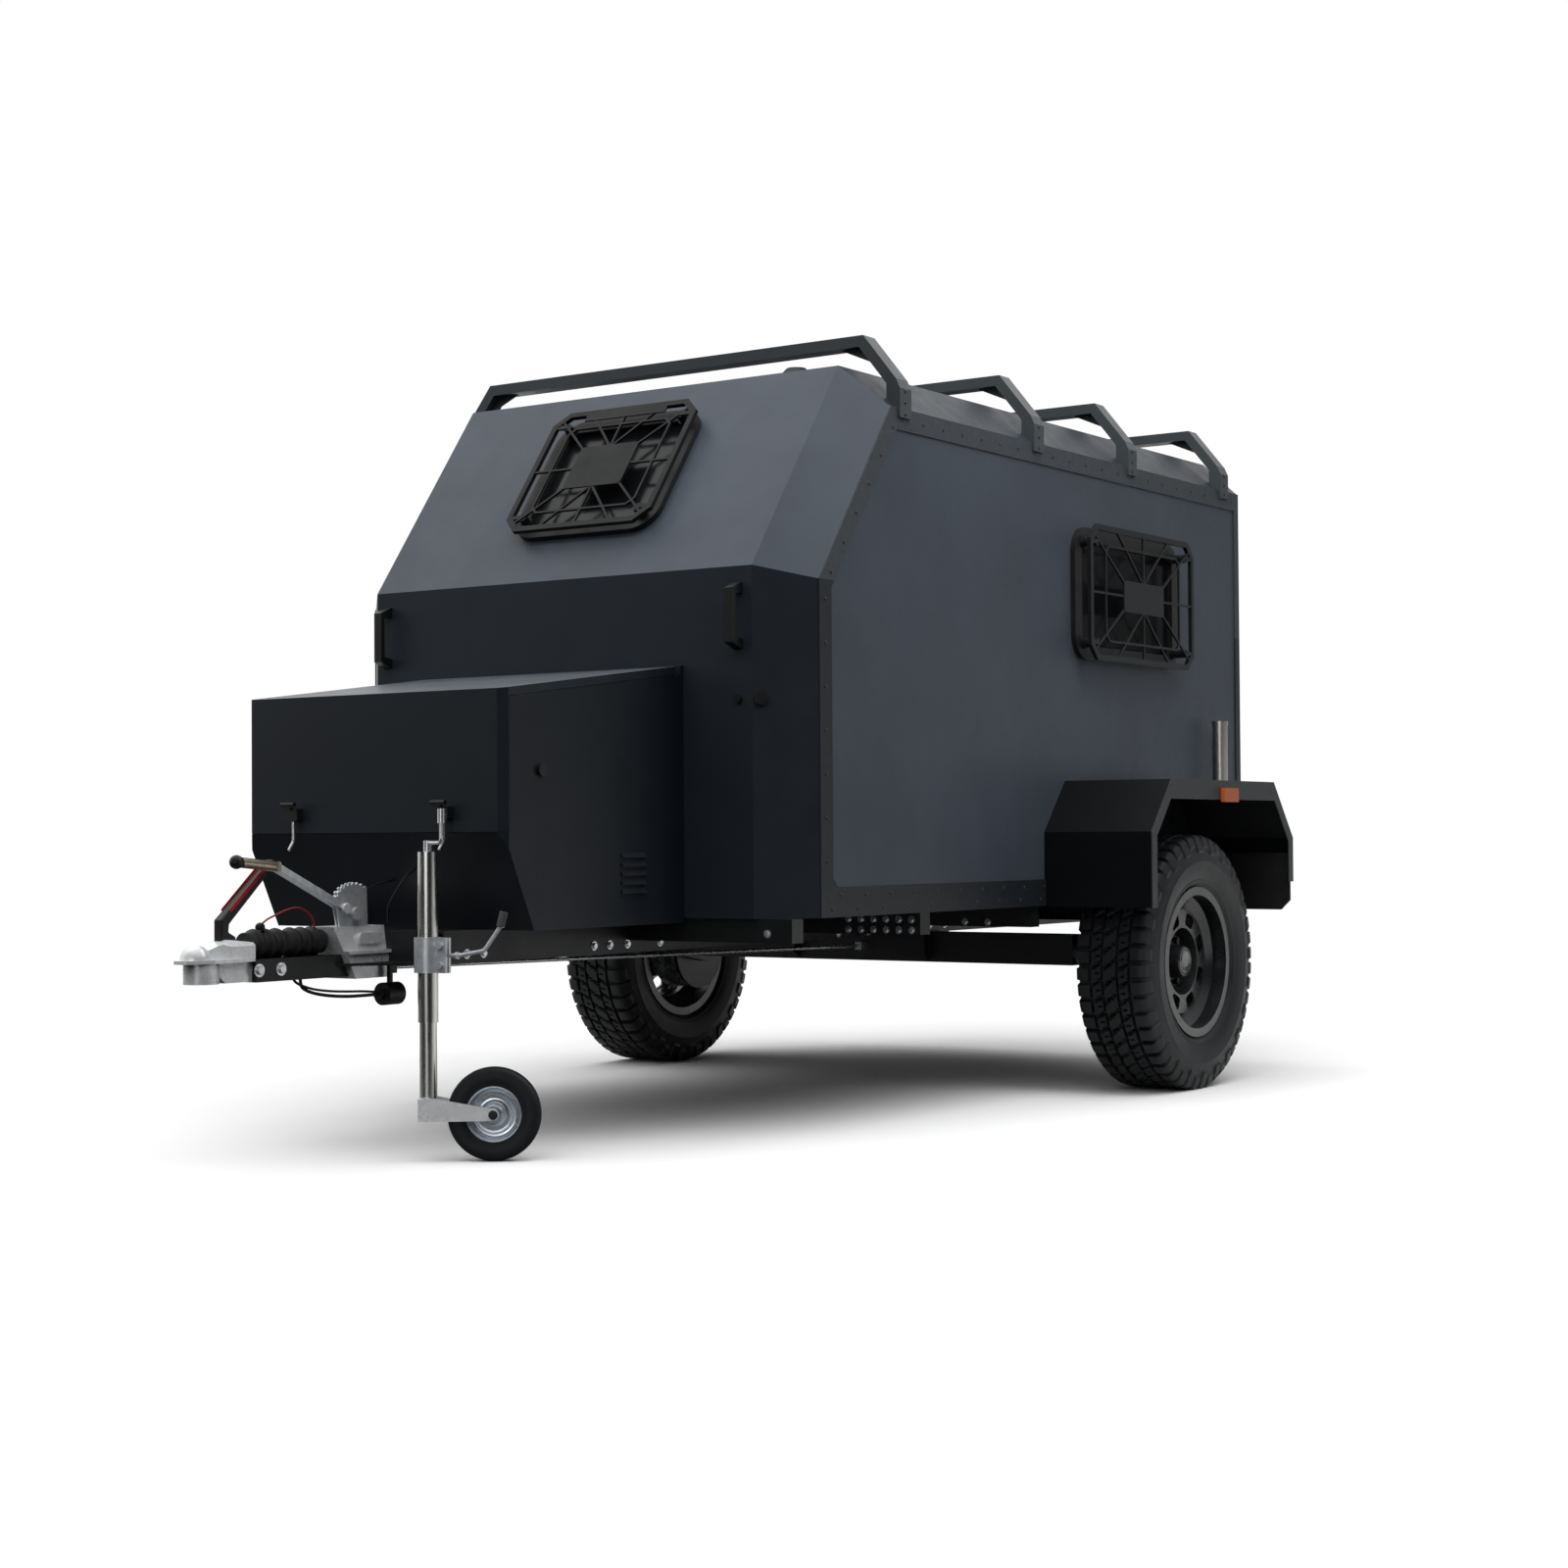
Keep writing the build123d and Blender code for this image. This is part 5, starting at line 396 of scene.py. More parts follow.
def side_finishes(side, sign):
    """The fender with a painted highlight along its outer lip, and the guard on its rubber feet."""
    outward = (sign, 0, 0)
    return {
        f"fender_{side}": banded(f"fender_{side}_with_lip_highlight", f"fender_{side}", outward, [
            (FROM_START, FENDER_TINT, 0.42, 0.0), (LIP_X, LIP_HIGHLIGHT_TINT, 0.38, 0.0)], specular=0.2),
        f"guard_{side}": banded(f"guard_{side}_with_lip_highlight", f"guard_{side}", outward, [
            (FROM_START, RUBBER_TINT, 0.6, 0.0), (GUARD_X, GUARD_TINT, 0.40, 0.0)], specular=0.3),
    }


# Nodes whose finish differs from their slot's
node_looks = {
    "roof": body_gloss, "nose_box": box_dark, "nose_lid": lid_dark, "mudflaps": black_rubber,
    "guard_front": guard_black, "axle_beam": black_steel, "suspension_arms": black_steel,
    "jockey_outer": tube_zinc, "jockey_inner": tube_zinc, "jockey_fork": cast_zinc,
    "coupling_head": cast_zinc, "coupling_housing": cast_zinc,
    "edge_trims": banded("edge_trims_finish", "edge_trims", UP, [
        (FROM_START, LOW_TRIM_TINT, 0.42, 0.0), (FACET_Z, TRIM_TINT, 0.45, 0.0)], specular=0.3),
    "lid_latches": banded("latch_finish", "lid_latches", UP, [
        (FROM_START, CHROME_TINT, 0.2, 0.8), (LATCH_KNOB_Z, BLACK_TINT, 0.45, 0.0)]),
    "handbrake": banded("handbrake_finish", "handbrake", (0, 1, 0), [
        (FROM_START, BLACK_TINT, 0.4, 0.0), (LEVER_GRIP_Y, BRONZE_TINT, 0.25, 1.0),
        (LEVER_BAR_Y, ZINC_TINT, 0.36, 0.55)]),
    "jockey_clamp": banded("clamp_finish", "jockey_clamp", UP, [
        (FROM_START, ZINC_TINT, 0.34, 0.55), (CLAMP_GRIP_Z, GREY_TINT, 0.6, 0.0)]),
}
for side, sign in SIDES:
    node_looks.update(side_finishes(side, sign))

slot_of = {row["node"]: row["material_slot"] for row in frame["record"]["subparts"]}
for name, obj in nodes.items():
    look = node_looks.get(name, SLOT_LOOKS[slot_of[name]])
    if not obj.material_slots:
        obj.data.materials.append(look)
    for slot in obj.material_slots:
        slot.material = look


# Mesh helpers

AXIS_GAP = 0.00005


def frame_matrix(origin, out, up=UP):
    """A matrix whose Z points outwards and whose Y points up the surface."""
    z = Vector(out).normalized()
    x = up.cross(z).normalized()
    matrix = Matrix((x, z.cross(x), z)).transposed().to_4x4()
    matrix.translation = origin
    return matrix


def mesh_object(name, bm, mat, body, smooth=False):
    """A mesh piece that rides on a body."""
    data = bpy.data.meshes.new(name)
    bm.to_mesh(data)
    bm.free()
    for face in data.polygons:
        face.use_smooth = smooth
    data.materials.append(mat)
    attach(add_object(name, data), body)


def add_circle(bm, matrix, radius, height, sides):
    """Points round the matrix's Z axis."""
    points = []
    for k in range(sides):
        angle = 2 * math.pi * k / sides
        place = Vector((radius * math.cos(angle), radius * math.sin(angle), height))
        points.append(bm.verts.new(matrix @ place))
    return points


def add_band(bm, low, high):
    """Faces between two rings with the same number of points."""
    for k in range(len(low)):
        n = (k + 1) % len(low)
        bm.faces.new((low[k], low[n], high[n], high[k]))


def add_dome(bm, matrix, radius, height, sides=10):
    """A low rivet head, in three rings and a top point."""
    angles = [math.pi / 2 * ring / 3 for ring in range(3)]
    loops = [add_circle(bm, matrix, radius * math.cos(t), height * math.sin(t), sides) for t in angles]
    for low, high in zip(loops, loops[1:]):
        add_band(bm, low, high)
    top = bm.verts.new(matrix @ Vector((0, 0, height)))
    for k in range(sides):
        bm.faces.new((loops[-1][k], loops[-1][(k + 1) % sides], top))


def add_hex_bolt(bm, matrix, radius, height, washer):
    """A hexagon head on a round washer, whose radius is the head's times a factor."""
    rim = radius * washer
    base = height * 0.25
    chamfer = height * 0.85
    steps = (
        (16, (rim, 0.0), (rim * 0.97, base)),
        (6, (radius, base), (radius, chamfer)),
        (6, (radius, chamfer), (radius * 0.86, height)),
    )
    for sides, below, above in steps:
        low = add_circle(bm, matrix, *below, sides)
        high = add_circle(bm, matrix, *above, sides)
        add_band(bm, low, high)
        bm.faces.new(high)


def hex_bolts(name, places, out, radius, height, mat=zinc, body="trailer", washer=1.45):
    """Hexagon bolts that face one way."""
    bm = bmesh.new()
    for place in places:
        add_hex_bolt(bm, frame_matrix(place, out), radius, height, washer)
    mesh_object(name, bm, mat, body)


def ring_mesh(name, rings, mat, body, sharp=35.0):
    """A closed surface through rings of points, each ring joined to the next and the last to the first."""
    count = len(rings[0])
    verts = [tuple(point) for ring in rings for point in ring]
    faces = []
    for i in range(len(rings)):
        j = (i + 1) % len(rings)
        for k in range(count):
            n = (k + 1) % count
            faces.append((i * count + k, i * count + n, j * count + n, j * count + k))
    data = bpy.data.meshes.new(name)
    data.from_pydata(verts, [], faces)
    data.polygons.foreach_set("use_smooth", [True] * len(data.polygons))
    data.set_sharp_from_angle(angle=math.radians(sharp))
    data.materials.append(mat)
    bm = bmesh.new()
    bm.from_mesh(data)
    bmesh.ops.recalc_face_normals(bm, faces=bm.faces)
    bm.to_mesh(data)
    bm.free()
    obj = add_object(name, data)
    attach(obj, body)
    return obj


def turned(name, matrix, outline, mat, body, sides=48, sharp=35.0):
    """A turned piece: (height, radius) points about the matrix's Z axis, kept just off the axis itself."""
    points = [(z, max(r, AXIS_GAP)) for z, r in outline]
    rings = []
    for step in range(sides):
        angle = 2 * math.pi * step / sides
        rings.append([matrix @ Vector((r * math.cos(angle), r * math.sin(angle), z)) for z, r in points])
    return ring_mesh(name, rings, mat, body, sharp)


def mirrored(half):
    """An outline carried on from its last point, which is on the mirror, to the other side."""
    return half + [(-x, r) for x, r in reversed(half[:-1])]


# Rivets along the trims

UPPER_PITCH = 0.105
LOWER_PITCH = 0.12


def spaced(start, end, pitch):
    """Even points from one end to the other."""
    run = (end - start).length
    count = max(1, round(run / pitch))
    return [start + (end - start).normalized() * (run * k / count) for k in range(count + 1)]


def trim_rivets(side, sign):
    """Rivets up the front corner, up the slope, along the roof's edge and in two rows along the bottom."""
    x = sign * TRIM_X
    corner_y = CORNER_Y + 0.028
    last_y = REAR_Y - 0.05
    slope_end = at(x, FACET_TOP_Y + 0.01, ROOF_SIDE_Z - 0.055)
    roof_z = ROOF_SIDE_Z - 0.030
    low_z = BOTTOM_Z + 0.020
    second_z = BOTTOM_Z + 0.055
    rows = [
        (at(x, corner_y, BOTTOM_Z + 0.14), at(x, corner_y, FACET_Z - 0.05), UPPER_PITCH),
        (at(x, CORNER_Y + 0.055, FACET_Z + 0.02), slope_end, UPPER_PITCH),
        (at(x, FACET_TOP_Y + 0.06, roof_z), at(x, last_y, roof_z), UPPER_PITCH),
        (at(x, CORNER_Y + 0.05, low_z), at(x, last_y, low_z), LOWER_PITCH),
        (at(x, CORNER_Y + 0.09, second_z), at(x, last_y, second_z), LOWER_PITCH),
    ]
    bm = bmesh.new()
    for start, end, pitch in rows:
        for place in spaced(start, end, pitch):
            add_dome(bm, frame_matrix(place, (sign, 0, 0)), radius=0.0055, height=0.0028)
    mesh_object(f"rivets_{side}", bm, black_steel, "trailer", smooth=True)


for side, sign in SIDES:
    trim_rivets(side, sign)

# Tyres: a carcass with sidewall rings, and blocks that stand on its crown and shoulders
PITCHES = 48
STEPS = 12
CROWN_R = 0.3627
LUG_H = TYRE_R - CROWN_R
BEAD_R = 0.2037
# The hollow's corners, inside the walls
INNER_BEAD_X = 0.0800
INNER_X = 0.0920
INNER_R = 0.3400
# Sidewall, from the bead to the shoulder: (across, radius)
WALL = [
    (0.0945, BEAD_R), (0.0945, 0.2180), (0.1000, 0.2290), (0.1085, 0.2345), (0.1105, 0.2375),
    (0.1105, 0.2405), (0.1090, 0.2425), (0.1125, 0.2500), (0.1165, 0.2620), (0.1195, 0.2780),
    (0.1208, 0.2930), (0.1213, 0.2960), (0.1213, 0.2985), (0.1200, 0.3010), (0.1188, 0.3130),
    (0.1170, 0.3200), (0.1150, 0.3270), (0.1130, 0.3340), (0.1105, 0.3420), (0.1080, 0.3500),
    (0.1045, 0.3570), (0.1000, 0.3610)]
# Places across the crown, close together where a block ends
CROWN_X = (0.0900, 0.0780, 0.0680, 0.0655, 0.0630, 0.0585, 0.0560, 0.0480, 0.0390, 0.0300, 0.0280, 0.0260,
           0.0215, 0.0195, 0.0100, 0.0)
# Where the blocks start on the sidewall: every second one reaches further down
LONG_LUG_R = 0.3240
SHORT_LUG_R = 0.3400
# The rows of blocks, as bounds across the tread
SHOULDER_X = 0.0600
LONG_BLOCK_X = 0.0670
SHORT_BLOCK_X = 0.0640
SHOULDER_EDGE_X = 0.1045
ROW_X = (0.0270, 0.0570)
SLIT_X = (0.035, 0.045)
CENTRE_X = 0.0205
# Half of each block's share of its pitch
SHOULDER_SHARE = 0.37
ROW_SHARE = 0.39
SLIT_SHARE = 0.05
CENTRE_SHARE = 0.40
# How far round the tyre a block's ends slant, in pitches for each metre across
ROW_SLANT = 11.0
CENTRE_SLANT = 16.0
# How far round the tyre each row is set off, in pitches
SHOULDER_SHIFT = 0.25
ROW_SHIFT = 0.5
CENTRE_SHIFT = 0.15
# Where the blocks begin to stand outwards instead of upwards, and the width over which they turn
TURN_X = 0.1000
TURN_WIDTH = 0.0130


def off_middle(turn):
    """How far a place is from the middle of its pitch."""
    return abs(turn % 1.0 - 0.5)


def lug_height(x, r, turn):
    """How far the tread stands above the carcass at a place, 0 to 1."""
    across = abs(x)
    shoulder_turn = turn + SHOULDER_SHIFT * (x > 0)
    long_one = math.floor(shoulder_turn) % 2 == 0
    if r < LONG_LUG_R or (r < SHORT_LUG_R and not long_one):
        return 0.0
    if across > SHOULDER_X:
        inner_end = LONG_BLOCK_X if long_one else SHORT_BLOCK_X
        if across < inner_end or off_middle(shoulder_turn) >= SHOULDER_SHARE:
            return 0.0
        return 0.5 if across > SHOULDER_EDGE_X else 1.0
    if ROW_X[0] < across < ROW_X[1]:
        place = off_middle(turn + ROW_SHIFT + x * ROW_SLANT)
        in_slit = SLIT_X[0] < across < SLIT_X[1] and place < SLIT_SHARE
        return 0.0 if place > ROW_SHARE or in_slit else 1.0
    if across < CENTRE_X:
        return 1.0 if off_middle(turn + CENTRE_SHIFT + x * CENTRE_SLANT) < CENTRE_SHARE else 0.0
    return 0.0


def tread_point(x, r, turn):
    """A carcass point moved out by the block on it, upwards on the crown and outwards on the sidewall."""
    if r < LONG_LUG_R or abs(x) == INNER_X:
        return x, r
    lift = lug_height(x, r, turn) * LUG_H
    outwards = min(1.0, max(0.0, (abs(x) - TURN_X) / TURN_WIDTH))
    return x + math.copysign(lift * outwards, x), r + lift * (1 - outwards)


def tyre(side, sign):
    """The carcass with its tread, hollow between the walls."""
    outside = mirrored(WALL + [(x, CROWN_R) for x in CROWN_X])
    inside = [(-INNER_BEAD_X, BEAD_R), (-INNER_X, INNER_R), (INNER_X, INNER_R), (INNER_BEAD_X, BEAD_R)]
    rings = []
    for step in range(PITCHES * STEPS):
        turn = step / STEPS
        angle = 2 * math.pi * turn / PITCHES
        points = [tread_point(x, r, turn) for x, r in outside + inside]
        rings.append([at(sign * (WHEEL_X + x), WHEEL_Y + r * math.cos(angle), TYRE_R + r * math.sin(angle))
                      for x, r in points])
    piece = ring_mesh(f"tyre_tread_{side}", rings, tyre_rubber, f"wheel_{side}")
    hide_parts(f"tyre_{side}")


for side, sign in SIDES:
    tyre(side, sign)

# Jockey wheel: a tyre with a round grooved crown, a dished rim with a rolled lip, and the axle's bolts
JOCKEY_AT = Vector((0.2257, -0.745, 0.0))
JOCKEY_TURN = math.radians(34.27)
JOCKEY_TRAIL = 0.154
JOCKEY_R = 0.110
FORK_OUT = 0.033
jockey_axis = Vector((-math.sin(JOCKEY_TURN), math.cos(JOCKEY_TURN), 0))
jockey_ahead = Vector((math.cos(JOCKEY_TURN), math.sin(JOCKEY_TURN), 0))
jockey_centre = at(*(JOCKEY_AT + jockey_ahead * JOCKEY_TRAIL + UP * JOCKEY_R))
JOCKEY_SIDES = 96
JOCKEY_TYRE_HALF = [
    (0.0185, 0.0660), (0.0190, 0.0700), (0.0222, 0.0760), (0.0230, 0.0860), (0.0226, 0.0950),
    (0.0205, 0.1020), (0.0170, 0.1062), (0.0150, 0.1074), (0.0142, 0.1058), (0.0122, 0.1058),
    (0.0114, 0.1084), (0.0070, 0.1096), (0.0028, JOCKEY_R), (0.0020, 0.1082), (0.0, 0.1082)]
JOCKEY_RIM_HALF = [
    (0.0186, 0.0658), (0.0205, 0.0650), (0.0212, 0.0630), (0.0205, 0.0608), (0.0180, 0.0590),
    (0.0110, 0.0565), (0.0085, 0.0520), (0.0095, 0.0460), (0.0085, 0.0400), (0.0085, 0.0300),
    (0.0120, 0.0260), (0.0190, 0.0230), (0.0225, 0.0190), (0.0225, 0.0088)]

rings = []
for step in range(JOCKEY_SIDES):
    angle = 2 * math.pi * step / JOCKEY_SIDES
    spoke = jockey_ahead * math.cos(angle) + UP * math.sin(angle)
    rings.append([jockey_centre + jockey_axis * x + spoke * r for x, r in mirrored(JOCKEY_TYRE_HALF)])
jockey_tyre_mesh = ring_mesh("jockey_tyre_mesh", rings, tyre_rubber, "jockey_roller", 40.0)
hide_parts("jockey_tyre")

rim_outline = JOCKEY_RIM_HALF + [(-z, r) for z, r in reversed(JOCKEY_RIM_HALF)]
rim_matrix = frame_matrix(jockey_centre, jockey_axis)
jockey_rim_mesh = turned("jockey_rim_mesh", rim_matrix, rim_outline, bright_zinc, "jockey_roller", 64, 50.0)
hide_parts("jockey_rim")

for number, sign in enumerate((1, -1)):
    outward = jockey_axis * sign
    hex_bolts(f"jockey_axle_bolt_{number}", [jockey_centre + outward * FORK_OUT], outward, radius=0.0085,
              height=0.007, mat=black_steel, body="jockey_caster", washer=1.3)

# Wheel centres: a black cap with a bright dished middle
CAP = [(0.0085, 0.0330), (0.0085, 0.0560), (0.0140, 0.0575), (0.0180, 0.0560), (0.0200, 0.0510),
       (0.0500, 0.0470), (0.0590, 0.0440), (0.0620, 0.0390), (0.0615, 0.0350), (0.0590, 0.0340),
       (0.0590, 0.0330)]
CAP_BADGE = [(0.0582, 0.0), (0.0582, 0.0325), (0.0612, 0.0335), (0.0622, 0.0310), (0.0610, 0.0280),
             (0.0600, 0.0150), (0.0606, 0.0)]
for side, sign in SIDES:
    matrix = frame_matrix(at(sign * WHEEL_X, WHEEL_Y, TYRE_R), (sign, 0, 0))
    turned(f"cap_{side}", matrix, CAP, wheel_black, f"wheel_{side}")
    turned(f"cap_badge_{side}", matrix, CAP_BADGE, badge_grey, f"wheel_{side}")

# Bolts of the chassis and rivets of the hoops
RAIL_X = 0.235
BRACKET_X = 0.243
BOLT_Z = 0.478
DOUBLE_BOLTS_Y = (1.00, 1.16, 1.32)
DOUBLE_BOLTS_Z = (0.468, 0.513)
SINGLE_BOLTS_Y = (-0.62, -0.56, -0.136, -0.072, 0.001, 0.14, 0.66, 0.74)
BRACKET_BOLTS_Y = (1.495, 1.585)
HOOP_TAB = 0.008
HOOPS_Y = (0.528, 1.262, 1.860, 2.532)
HOOP_RIVETS_Z = (1.864, 1.895, 1.925)
CROSS_Y = 0.62
CROSS_BOLTS_X = (0.515, 0.555, 0.595, 0.635, 0.675, 0.715)
CROSS_BOLTS_Z = (0.499, 0.527)
# Three lone bolts on other cross-members: (across, back, height)
LONE_BOLTS = ((0.668, 0.01, 0.510), (0.525, 1.23, 0.500), (0.601, 1.23, 0.500))


def chassis_bolts(side, sign):
    """The bolts on one rail, its bracket and its cross-members, and the rivets of the hoops' feet."""
    outward = (sign, 0, 0)
    rail = [at(sign * RAIL_X, y, z) for y in DOUBLE_BOLTS_Y for z in DOUBLE_BOLTS_Z]
    rail += [at(sign * RAIL_X, y, BOLT_Z) for y in SINGLE_BOLTS_Y]
    hex_bolts(f"rail_bolts_{side}", rail, outward, radius=0.0085, height=0.007)
    bracket = [at(sign * BRACKET_X, y, BOLT_Z) for y in BRACKET_BOLTS_Y]
    hex_bolts(f"bracket_bolts_{side}", bracket, outward, radius=0.009, height=0.008)
    bm = bmesh.new()
    for y in HOOPS_Y:
        for z in HOOP_RIVETS_Z:
            matrix = frame_matrix(at(sign * (TRIM_X + HOOP_TAB), y, z), outward)
            add_dome(bm, matrix, radius=0.006, height=0.003, sides=12)
    mesh_object(f"hoop_rivets_{side}", bm, black_steel, "trailer", smooth=True)
    cross = [at(sign * x, CROSS_Y, z) for x in CROSS_BOLTS_X for z in CROSS_BOLTS_Z]
    cross += [at(sign * x, y, z) for x, y, z in LONE_BOLTS]
    hex_bolts(f"cross_bolts_{side}", cross, (0, -1, 0), radius=0.0075, height=0.006)


for side, sign in SIDES:
    chassis_bolts(side, sign)

# Two bolts through the drawbar's tube, with their nuts on the far side
TUBE_X = 0.040
TUBE_BOLTS_Y = (-1.103, -1.035)
TUBE_BOLTS_Z = 0.457
for name, sign, height in (("tube_bolts", 1, 0.008), ("tube_nuts", -1, 0.009)):
    places = [at(sign * TUBE_X, y, TUBE_BOLTS_Z) for y in TUBE_BOLTS_Y]
    hex_bolts(name, places, (sign, 0, 0), radius=0.0105, height=height, washer=1.5)

# Dark liners on the body's sides inside the fenders
LINER = ((1.298, 0.553), (1.298, 0.757), (1.427, 0.904), (2.141, 0.904), (2.284, 0.735), (2.284, 0.553))
LINER_T = 0.0015
for side, sign in SIDES:
    bm = bmesh.new()
    low = [bm.verts.new(at(sign * TRIM_X, y, z)) for y, z in LINER]
    high = [bm.verts.new(at(sign * (TRIM_X + LINER_T), y, z)) for y, z in LINER]
    add_band(bm, low, high)
    bm.faces.new(high)
    bm.faces.new(low)
    bmesh.ops.recalc_face_normals(bm, faces=bm.faces)
    mesh_object(f"arch_liner_{side}", bm, fender_black, "trailer")

# Red inlays on both faces of the coupling handle
HANDLE_FOOT = Vector((0, -1.188, 0.573))
HANDLE_HEAD = Vector((0, -1.040, 0.703))
INLAY_HALF = 0.0045
INLAY_LOW_X = 0.0125
INLAY_HIGH_X = 0.0138
inlay_start = HANDLE_FOOT.lerp(HANDLE_HEAD, 0.15)
inlay_end = HANDLE_FOOT.lerp(HANDLE_HEAD, 0.92)
half_width = (HANDLE_HEAD - HANDLE_FOOT).cross(Vector((-1, 0, 0))).normalized() * INLAY_HALF
corners = (inlay_start - half_width, inlay_end - half_width, inlay_end + half_width, inlay_start + half_width)
bm = bmesh.new()
for sign in (1, -1):
    low = [bm.verts.new(at(sign * INLAY_LOW_X, p.y, p.z)) for p in corners]
    high = [bm.verts.new(at(sign * INLAY_HIGH_X, p.y, p.z)) for p in corners]
    add_band(bm, low, high)
    bm.faces.new(high)
bmesh.ops.recalc_face_normals(bm, faces=bm.faces)
mesh_object("handle_inlay", bm, red_plastic, "trailer")

# White stop discs on the handbrake's ratchet
STOP_DISC = [(-0.006, 0.0), (-0.006, 0.0125), (0.001, 0.0130), (0.0035, 0.0115), (0.004, 0.0)]
STOP_DISC_X = 0.053
STOP_DISCS_YZ = ((-0.835, 0.590), (-0.800, 0.577))
for number, (y, z) in enumerate(STOP_DISCS_YZ):
    turned(f"stop_disc_{number}", frame_matrix(at(STOP_DISC_X, y, z), (1, 0, 0)), STOP_DISC, white_plastic,
           "trailer", 32)


# Cords


def nurbs_cord(name, route, diameter, mat):
    """A round cord along a smooth curve that follows a route given in millimetres."""
    data = bpy.data.curves.new(name, "CURVE")
    data.dimensions = "3D"
    data.bevel_depth = diameter / 2
    data.bevel_resolution = 4
    data.resolution_u = 16
    data.use_fill_caps = True
    spline = data.splines.new("NURBS")
    spline.points.add(len(route) - 1)
    for point, (x, y, z) in zip(spline.points, route):
        point.co = (*at(x / 1000, y / 1000, z / 1000), 1.0)
    spline.order_u = 3
    spline.use_endpoint_u = True
    data.materials.append(mat)
    obj = add_object(name, data)
    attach(obj, "trailer")
    return obj


# Plug lead: the route's points are those of the part's source
LEAD_ROUTE = [(28.0, -962.0, 430.0), (28.0, -962.0, 415.0), (30.0, -947.0, 403.0), (36.0, -921.0, 394.0),
              (47.0, -880.0, 387.0), (61.0, -836.0, 384.0), (75.0, -798.0, 385.0), (75.0, -756.0, 385.0)]
lead = nurbs_cord("plug_lead_cable", LEAD_ROUTE, 0.008, black_rubber)
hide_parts("plug_lead")

# The breakaway cable, the second lead strand and two brake cables, each drawn along its route
CABLES = (
    ("breakaway_cable", red_cable, 0.0045, 0.204, "limp", [
        (5.0, -1066.0, 556.0), (5.0, -1050.0, 569.0), (5.0, -1012.0, 581.0), (8.0, -980.0, 592.0),
        (10.0, -948.0, 596.0), (16.0, -922.0, 582.0), (20.0, -908.0, 562.0), (14.0, -902.0, 538.0)]),
    ("lead_strand", black_rubber, 0.006, 0.245, "medium", [
        (20.0, -976.0, 430.0), (24.0, -972.0, 421.0), (36.0, -955.0, 412.0), (46.0, -935.0, 405.0),
        (60.0, -894.0, 399.0), (69.0, -840.0, 396.0), (74.0, -800.0, 395.0), (75.0, -750.0, 390.0)]),
    ("brake_cable_0", black_rubber, 0.005, 0.204, "medium", [
        (30.0, -770.0, 566.0), (34.0, -782.0, 585.0), (38.0, -790.0, 606.0), (38.0, -760.0, 632.0),
        (34.0, -700.0, 648.0), (30.0, -640.0, 655.0)]),
    ("brake_cable_1", black_rubber, 0.005, 0.195, "medium", [
        (60.0, -700.0, 550.0), (66.0, -712.0, 572.0), (84.0, -722.0, 604.0), (100.0, -700.0, 648.0),
        (104.0, -670.0, 676.0), (104.0, -630.0, 690.0)]),
)
for name, mat, diameter, length, stiffness, route in CABLES:
    cable = nurbs_cord(name, route, diameter, mat)

# The knob on the bellows that the breakaway cable starts from
KNOB = [(0.0, 0.0), (0.0, 0.0095), (0.006, 0.0115), (0.013, 0.0100), (0.017, 0.0050), (0.018, 0.0)]
knob_matrix = frame_matrix(at(0.005, -1.066, 0.546), UP, Vector((0, 1, 0)))
turned("cable_knob", knob_matrix, KNOB, black_plastic, "trailer", 32)

# Camera at the photograph's viewpoint
CAMERA_AT = at(4.2669, -5.1943, 0.7563)
YAW = math.radians(34.268)
PITCH = math.radians(1.143)
ROLL = math.radians(-0.369)
forward = Vector((-math.sin(YAW) * math.cos(PITCH), math.cos(YAW) * math.cos(PITCH), math.sin(PITCH)))
level_right = Vector((math.cos(YAW), math.sin(YAW), 0.0))
level_up = level_right.cross(forward)
camera_right = level_right * math.cos(ROLL) + level_up * math.sin(ROLL)
camera_up = level_up * math.cos(ROLL) - level_right * math.sin(ROLL)
camera_data = bpy.data.cameras.new("camera")
camera_data.lens = 58.42
camera_data.sensor_width = 36.0
camera = add_object("camera", camera_data)
camera_matrix = Matrix((camera_right, camera_up, -forward)).transposed().to_4x4()
camera_matrix.translation = CAMERA_AT
camera.matrix_world = camera_matrix
scene.camera = camera


# Floor


def is_mirrored(tree, paths):
    """1 for what gloss and glass show, else 0."""
    return combine(tree, "MAXIMUM", paths["Is Glossy Ray"], paths["Is Transmission Ray"])


def grey(level):
    """A neutral colour."""
    return (level, level, level)


